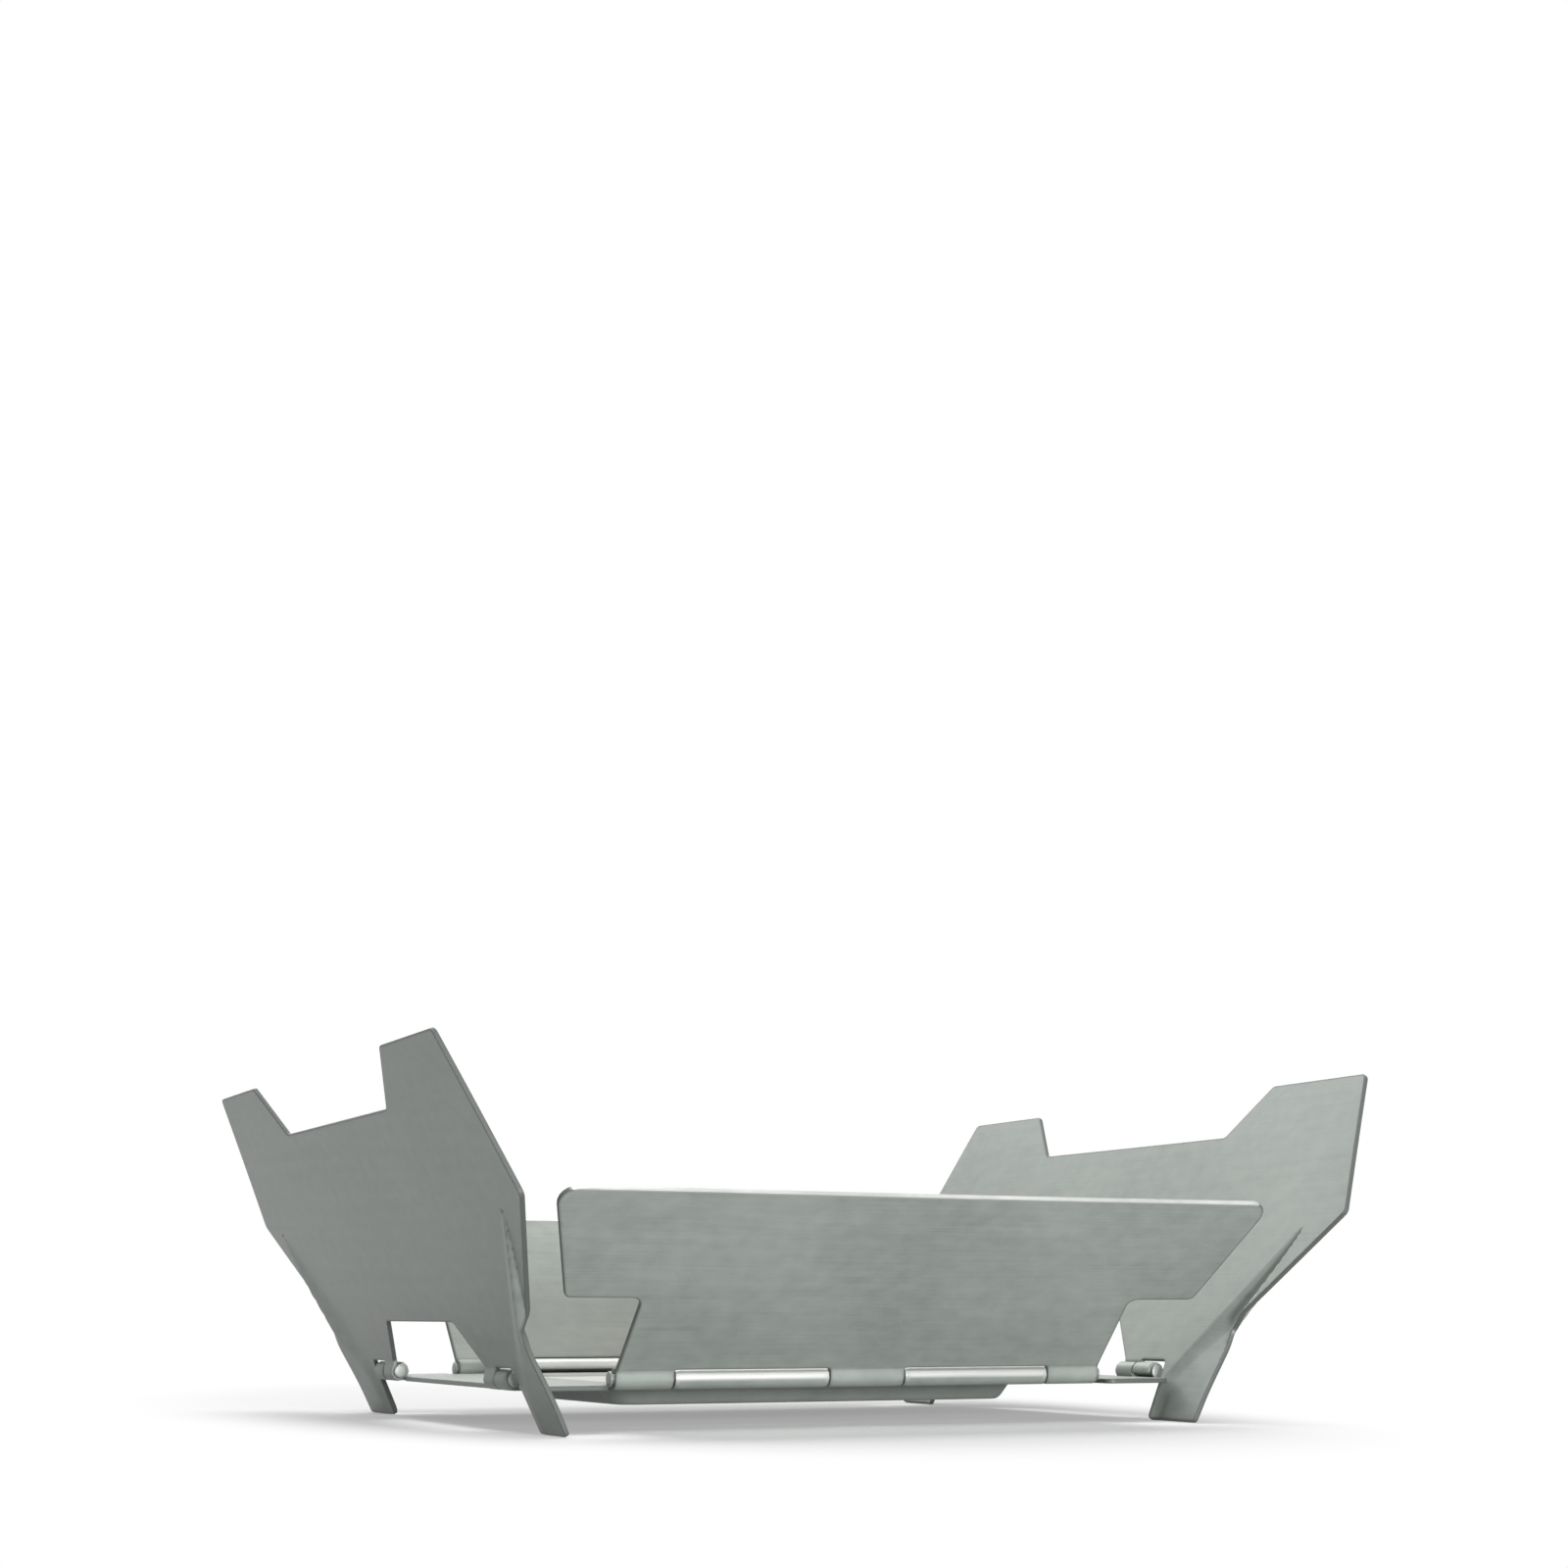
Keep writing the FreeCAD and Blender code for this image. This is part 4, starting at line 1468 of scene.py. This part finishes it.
@dataclass(frozen=True)
class PressedFuel(Finish):
    """White pressed fuel: matt, faintly crystalline, with powdery edges."""

    name: str = "pressed_fuel"
    white: Triple = (0.80, 0.79, 0.75)
    cream: Triple = (0.75, 0.735, 0.68)
    roughness: float = 0.85
    crumb_scale: float = 1900.0
    crumb_gloss: float = 0.25
    powder: Pair = (900.0, 6.0)
    patches: Pair = (120.0, 3.0)
    patch_cut: Pair = (0.35, 0.7)
    tone_weights: Pair = (0.7, 0.3)
    relief_weights: Pair = (0.6, 0.4)
    bump_strength: float = 0.5
    bump_size: float = 0.0002

    def material(self) -> bpy.types.Material:
        """Build the fuel's nodes on object coordinates: powder and patches by their scale and octaves.

        Returns:
            The material.
        """
        bench = Bench(self.name)
        place = bench.node("ShaderNodeTexCoord", {}, {}, "Object")
        crumbs = bench.node("ShaderNodeTexVoronoi", {}, {"Vector": place, "Scale": self.crumb_scale},
                            "Distance")
        powder, patches = (
            bench.node("ShaderNodeTexNoise", {}, {"Vector": place, "Scale": scale, "Detail": detail})
            for scale, detail in (self.powder, self.patches))
        share = patches.between(*self.patch_cut) * self.tone_weights[0] + powder * self.tone_weights[1]
        relief = self.relief_weights[0] * powder + self.relief_weights[1] * crumbs
        bench.dress({
            "Base Color": bench.mix(share, self.white, self.cream),
            "Roughness": self.roughness - self.crumb_gloss * crumbs,
            "Normal": bench.bump(relief, self.bump_strength, self.bump_size),
        })
        return bench.material


@dataclass(frozen=True)
class Lamp:
    """A square soft lamp: place and side in metres, power in watts."""

    name: str
    place: Triple
    size: float
    power: float

    def hang(self, target: Triple) -> None:
        """Add the lamp to the scene.

        Args:
            target: Place that the lamp looks at, in metres.
        """
        light = bpy.data.lights.new(self.name, "AREA")
        light.size = self.size
        light.energy = self.power
        lamp = bpy.data.objects.new(self.name, light)
        lamp.location = self.place
        lamp.rotation_euler = (Vector(target) - Vector(self.place)).to_track_quat("-Z", "Y").to_euler()
        bpy.context.collection.objects.link(lamp)


@dataclass(frozen=True)
class Studio:
    """Pale floor, even white surroundings, soft lamps and the camera at the photograph's place."""

    floor_size: float = 6.0
    floor_pale: Triple = (0.70, 0.70, 0.70)
    floor_glow: Triple = (0.30, 0.30, 0.30)
    floor_bounce: Triple = (0.42, 0.42, 0.42)
    shadow_spread: Triple = (14.0, 7.0, 0.0)
    shadow_shift: Triple = (0.0, -0.28, 0.0)
    shadow_fade: Pair = (0.70, 1.06)
    fill: float = 0.18
    lamps: tuple[Lamp, ...] = (
        Lamp("key", (-0.46, -0.56, 0.66), 0.6, 0.65),
        Lamp("back", (0.0, 0.66, 0.60), 0.5, 2.8),
        Lamp("top", (0.02, 0.20, 0.88), 0.5, 3.4),
        Lamp("front", (-0.06, -0.89, 0.09), 0.16, 6.3),
    )
    lamp_target: Triple = (0.0, 0.0, 0.02)
    camera_place: Triple = (-139.4, -301.5, 13.7)
    yaw: float = 25.29
    pitch: float = 12.21
    lens: float = 55.96
    sensor: float = 36.0

    def build(self) -> None:
        """Make the floor, the surroundings, the lamps and the camera."""
        scene = bpy.context.scene
        scene.view_settings.view_transform = "Standard"
        self.floor()
        self.surroundings(scene)
        for lamp in self.lamps:
            lamp.hang(self.lamp_target)
        self.camera(scene)

    def floor(self) -> None:
        """Lay a wide floor that is white to the eye and keeps the stove's shadow.

        Round the stove, within a fading ellipse, the floor is pale and takes light and shadow. Beyond it the
        floor only glows white.
        """
        half = 0.5 * self.floor_size
        corners = [(-half, -half, 0), (half, -half, 0), (half, half, 0), (-half, half, 0)]
        mesh = bpy.data.meshes.new("floor")
        mesh.from_pydata(corners, [], [(0, 1, 2, 3)])
        floor = bpy.data.objects.new("floor", mesh)
        bpy.context.collection.objects.link(floor)
        bench = Bench("pale_floor")
        seen = self.seen(bench)
        place = bench.node("ShaderNodeTexCoord", {}, {}, "Object")
        spread = bench.node("ShaderNodeVectorMath", {"operation": "MULTIPLY_ADD"},
                            {0: place, 1: self.shadow_spread, 2: self.shadow_shift})
        away = bench.node("ShaderNodeVectorMath", {"operation": "LENGTH"}, {0: spread}, "Value")
        far = away.between(*self.shadow_fade)
        look, glow = bench.mix(far, self.floor_pale, BLACK), bench.mix(far, self.floor_glow, WHITE)
        bench.dress({
            "Base Color": bench.mix(seen, self.floor_bounce, look),
            "Roughness": 1.0,
            "Specular IOR Level": 0.0,
            "Emission Color": bench.mix(seen, BLACK, glow),
            "Emission Strength": 1.0,
        })
        mesh.materials.append(bench.material)
        floor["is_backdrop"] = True

    @staticmethod
    def seen(bench: Bench) -> Wire:
        """Share of rays from the eye, straight or by a mirror or glass.

        Args:
            bench: Bench of the floor's material.

        Returns:
            1 for such rays, and 0 for others.
        """
        straight, glossy, through = (bench.node("ShaderNodeLightPath", {}, {}, name)
                                     for name in ("Is Camera Ray", "Is Glossy Ray", "Is Transmission Ray"))
        return bench.math("MAXIMUM", bench.math("MAXIMUM", straight, glossy), through)

    def surroundings(self, scene: bpy.types.Scene) -> None:
        """Surround the stove with even light that is white to the eye.

        Args:
            scene: Scene that gets the world.
        """
        world = bpy.data.worlds.new("white_studio")
        world.use_nodes = True
        scene.world = world
        nodes, links = world.node_tree.nodes, world.node_tree.links
        nodes["Background"].inputs["Color"].default_value = (*WHITE, 1.0)
        path = nodes.new("ShaderNodeLightPath")
        straight, seen = nodes.new("ShaderNodeMath"), nodes.new("ShaderNodeMath")
        straight.operation = seen.operation = "MAXIMUM"
        level = nodes.new("ShaderNodeMapRange")
        level.inputs["To Min"].default_value = self.fill
        level.inputs["To Max"].default_value = 1.0
        links.new(path.outputs["Is Camera Ray"], straight.inputs[0])
        links.new(path.outputs["Is Transmission Ray"], straight.inputs[1])
        links.new(straight.outputs[0], seen.inputs[0])
        links.new(path.outputs["Is Glossy Ray"], seen.inputs[1])
        links.new(seen.outputs[0], level.inputs["Value"])
        links.new(level.outputs[0], nodes["Background"].inputs["Strength"])

    def camera(self, scene: bpy.types.Scene) -> None:
        """Set up the camera low in front of the stove, looking up and to the right.

        Args:
            scene: Scene that gets the camera.
        """
        lens = bpy.data.cameras.new("photograph")
        lens.lens = self.lens
        lens.sensor_width = self.sensor
        camera = bpy.data.objects.new("photograph", lens)
        camera.location = [value * MM for value in self.camera_place]
        camera.rotation_euler = (math.radians(90.0 + self.pitch), 0.0, math.radians(-self.yaw))
        bpy.context.collection.objects.link(camera)
        scene.camera = camera


def hinge_pins(base: BasePlate) -> list[HingePin]:
    """List the stove's pins: a long one for each windshield and two short ones for each wing.

    Args:
        base: The base, which carries them all.

    Returns:
        The pins.
    """
    hinge, inner, outer = base.hinge, base.window, base.end_span[1]
    long_half, short_half = Windshield.neck + hinge.gap, (outer - inner) / 2 + hinge.gap
    middle = (outer + inner) / 2
    ways = ((Side.FRONT.word, -1), (Side.REAR.word, 1))
    pins = [HingePin(hinge, f"{name}_hinge_pin", base.body, (0.0, sign * hinge.shield_axis), long_half, True)
            for name, sign in ways]
    for end, way in ((Side.LEFT.word, -1), (Side.RIGHT.word, 1)):
        pins += [HingePin(hinge, f"{end}_{name}_hinge_pin", base.body, (way * hinge.wing_axis, sign * middle),
                          short_half, False)
                 for name, sign in ways]
    return pins


def main(cad_box: Any) -> None:
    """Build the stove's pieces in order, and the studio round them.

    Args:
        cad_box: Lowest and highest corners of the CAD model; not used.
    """
    hinge = Hinge()
    sheet, wire, fuel = SatinSheet(), DrawnWire(), PressedFuel()
    base = BasePlate(hinge, "base_plate", "base")
    pieces: list[bpy.types.Object] = [base.build(sheet)]
    for panel, kind, sides in ((Wing, "wing", (Side.LEFT, Side.RIGHT)),
                               (Windshield, "windshield", (Side.FRONT, Side.REAR))):
        names = [f"{side.word}_{kind}" for side in sides]
        pieces += [panel(hinge, name, name, side=side).build(sheet) for name, side in zip(names, sides)]
    pieces += [pin.build(wire) for pin in hinge_pins(base)]
    pieces.append(FuelTablet(hinge, "fuel_tablet", base.body, base).build(fuel))
    for piece in pieces:
        LOG.info("%s: %d faces", piece.name, len(piece.data.polygons))
    Studio().build()


if __name__ == "__main__":
    logging.basicConfig(level=logging.INFO, format="%(message)s")
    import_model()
    main(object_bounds())
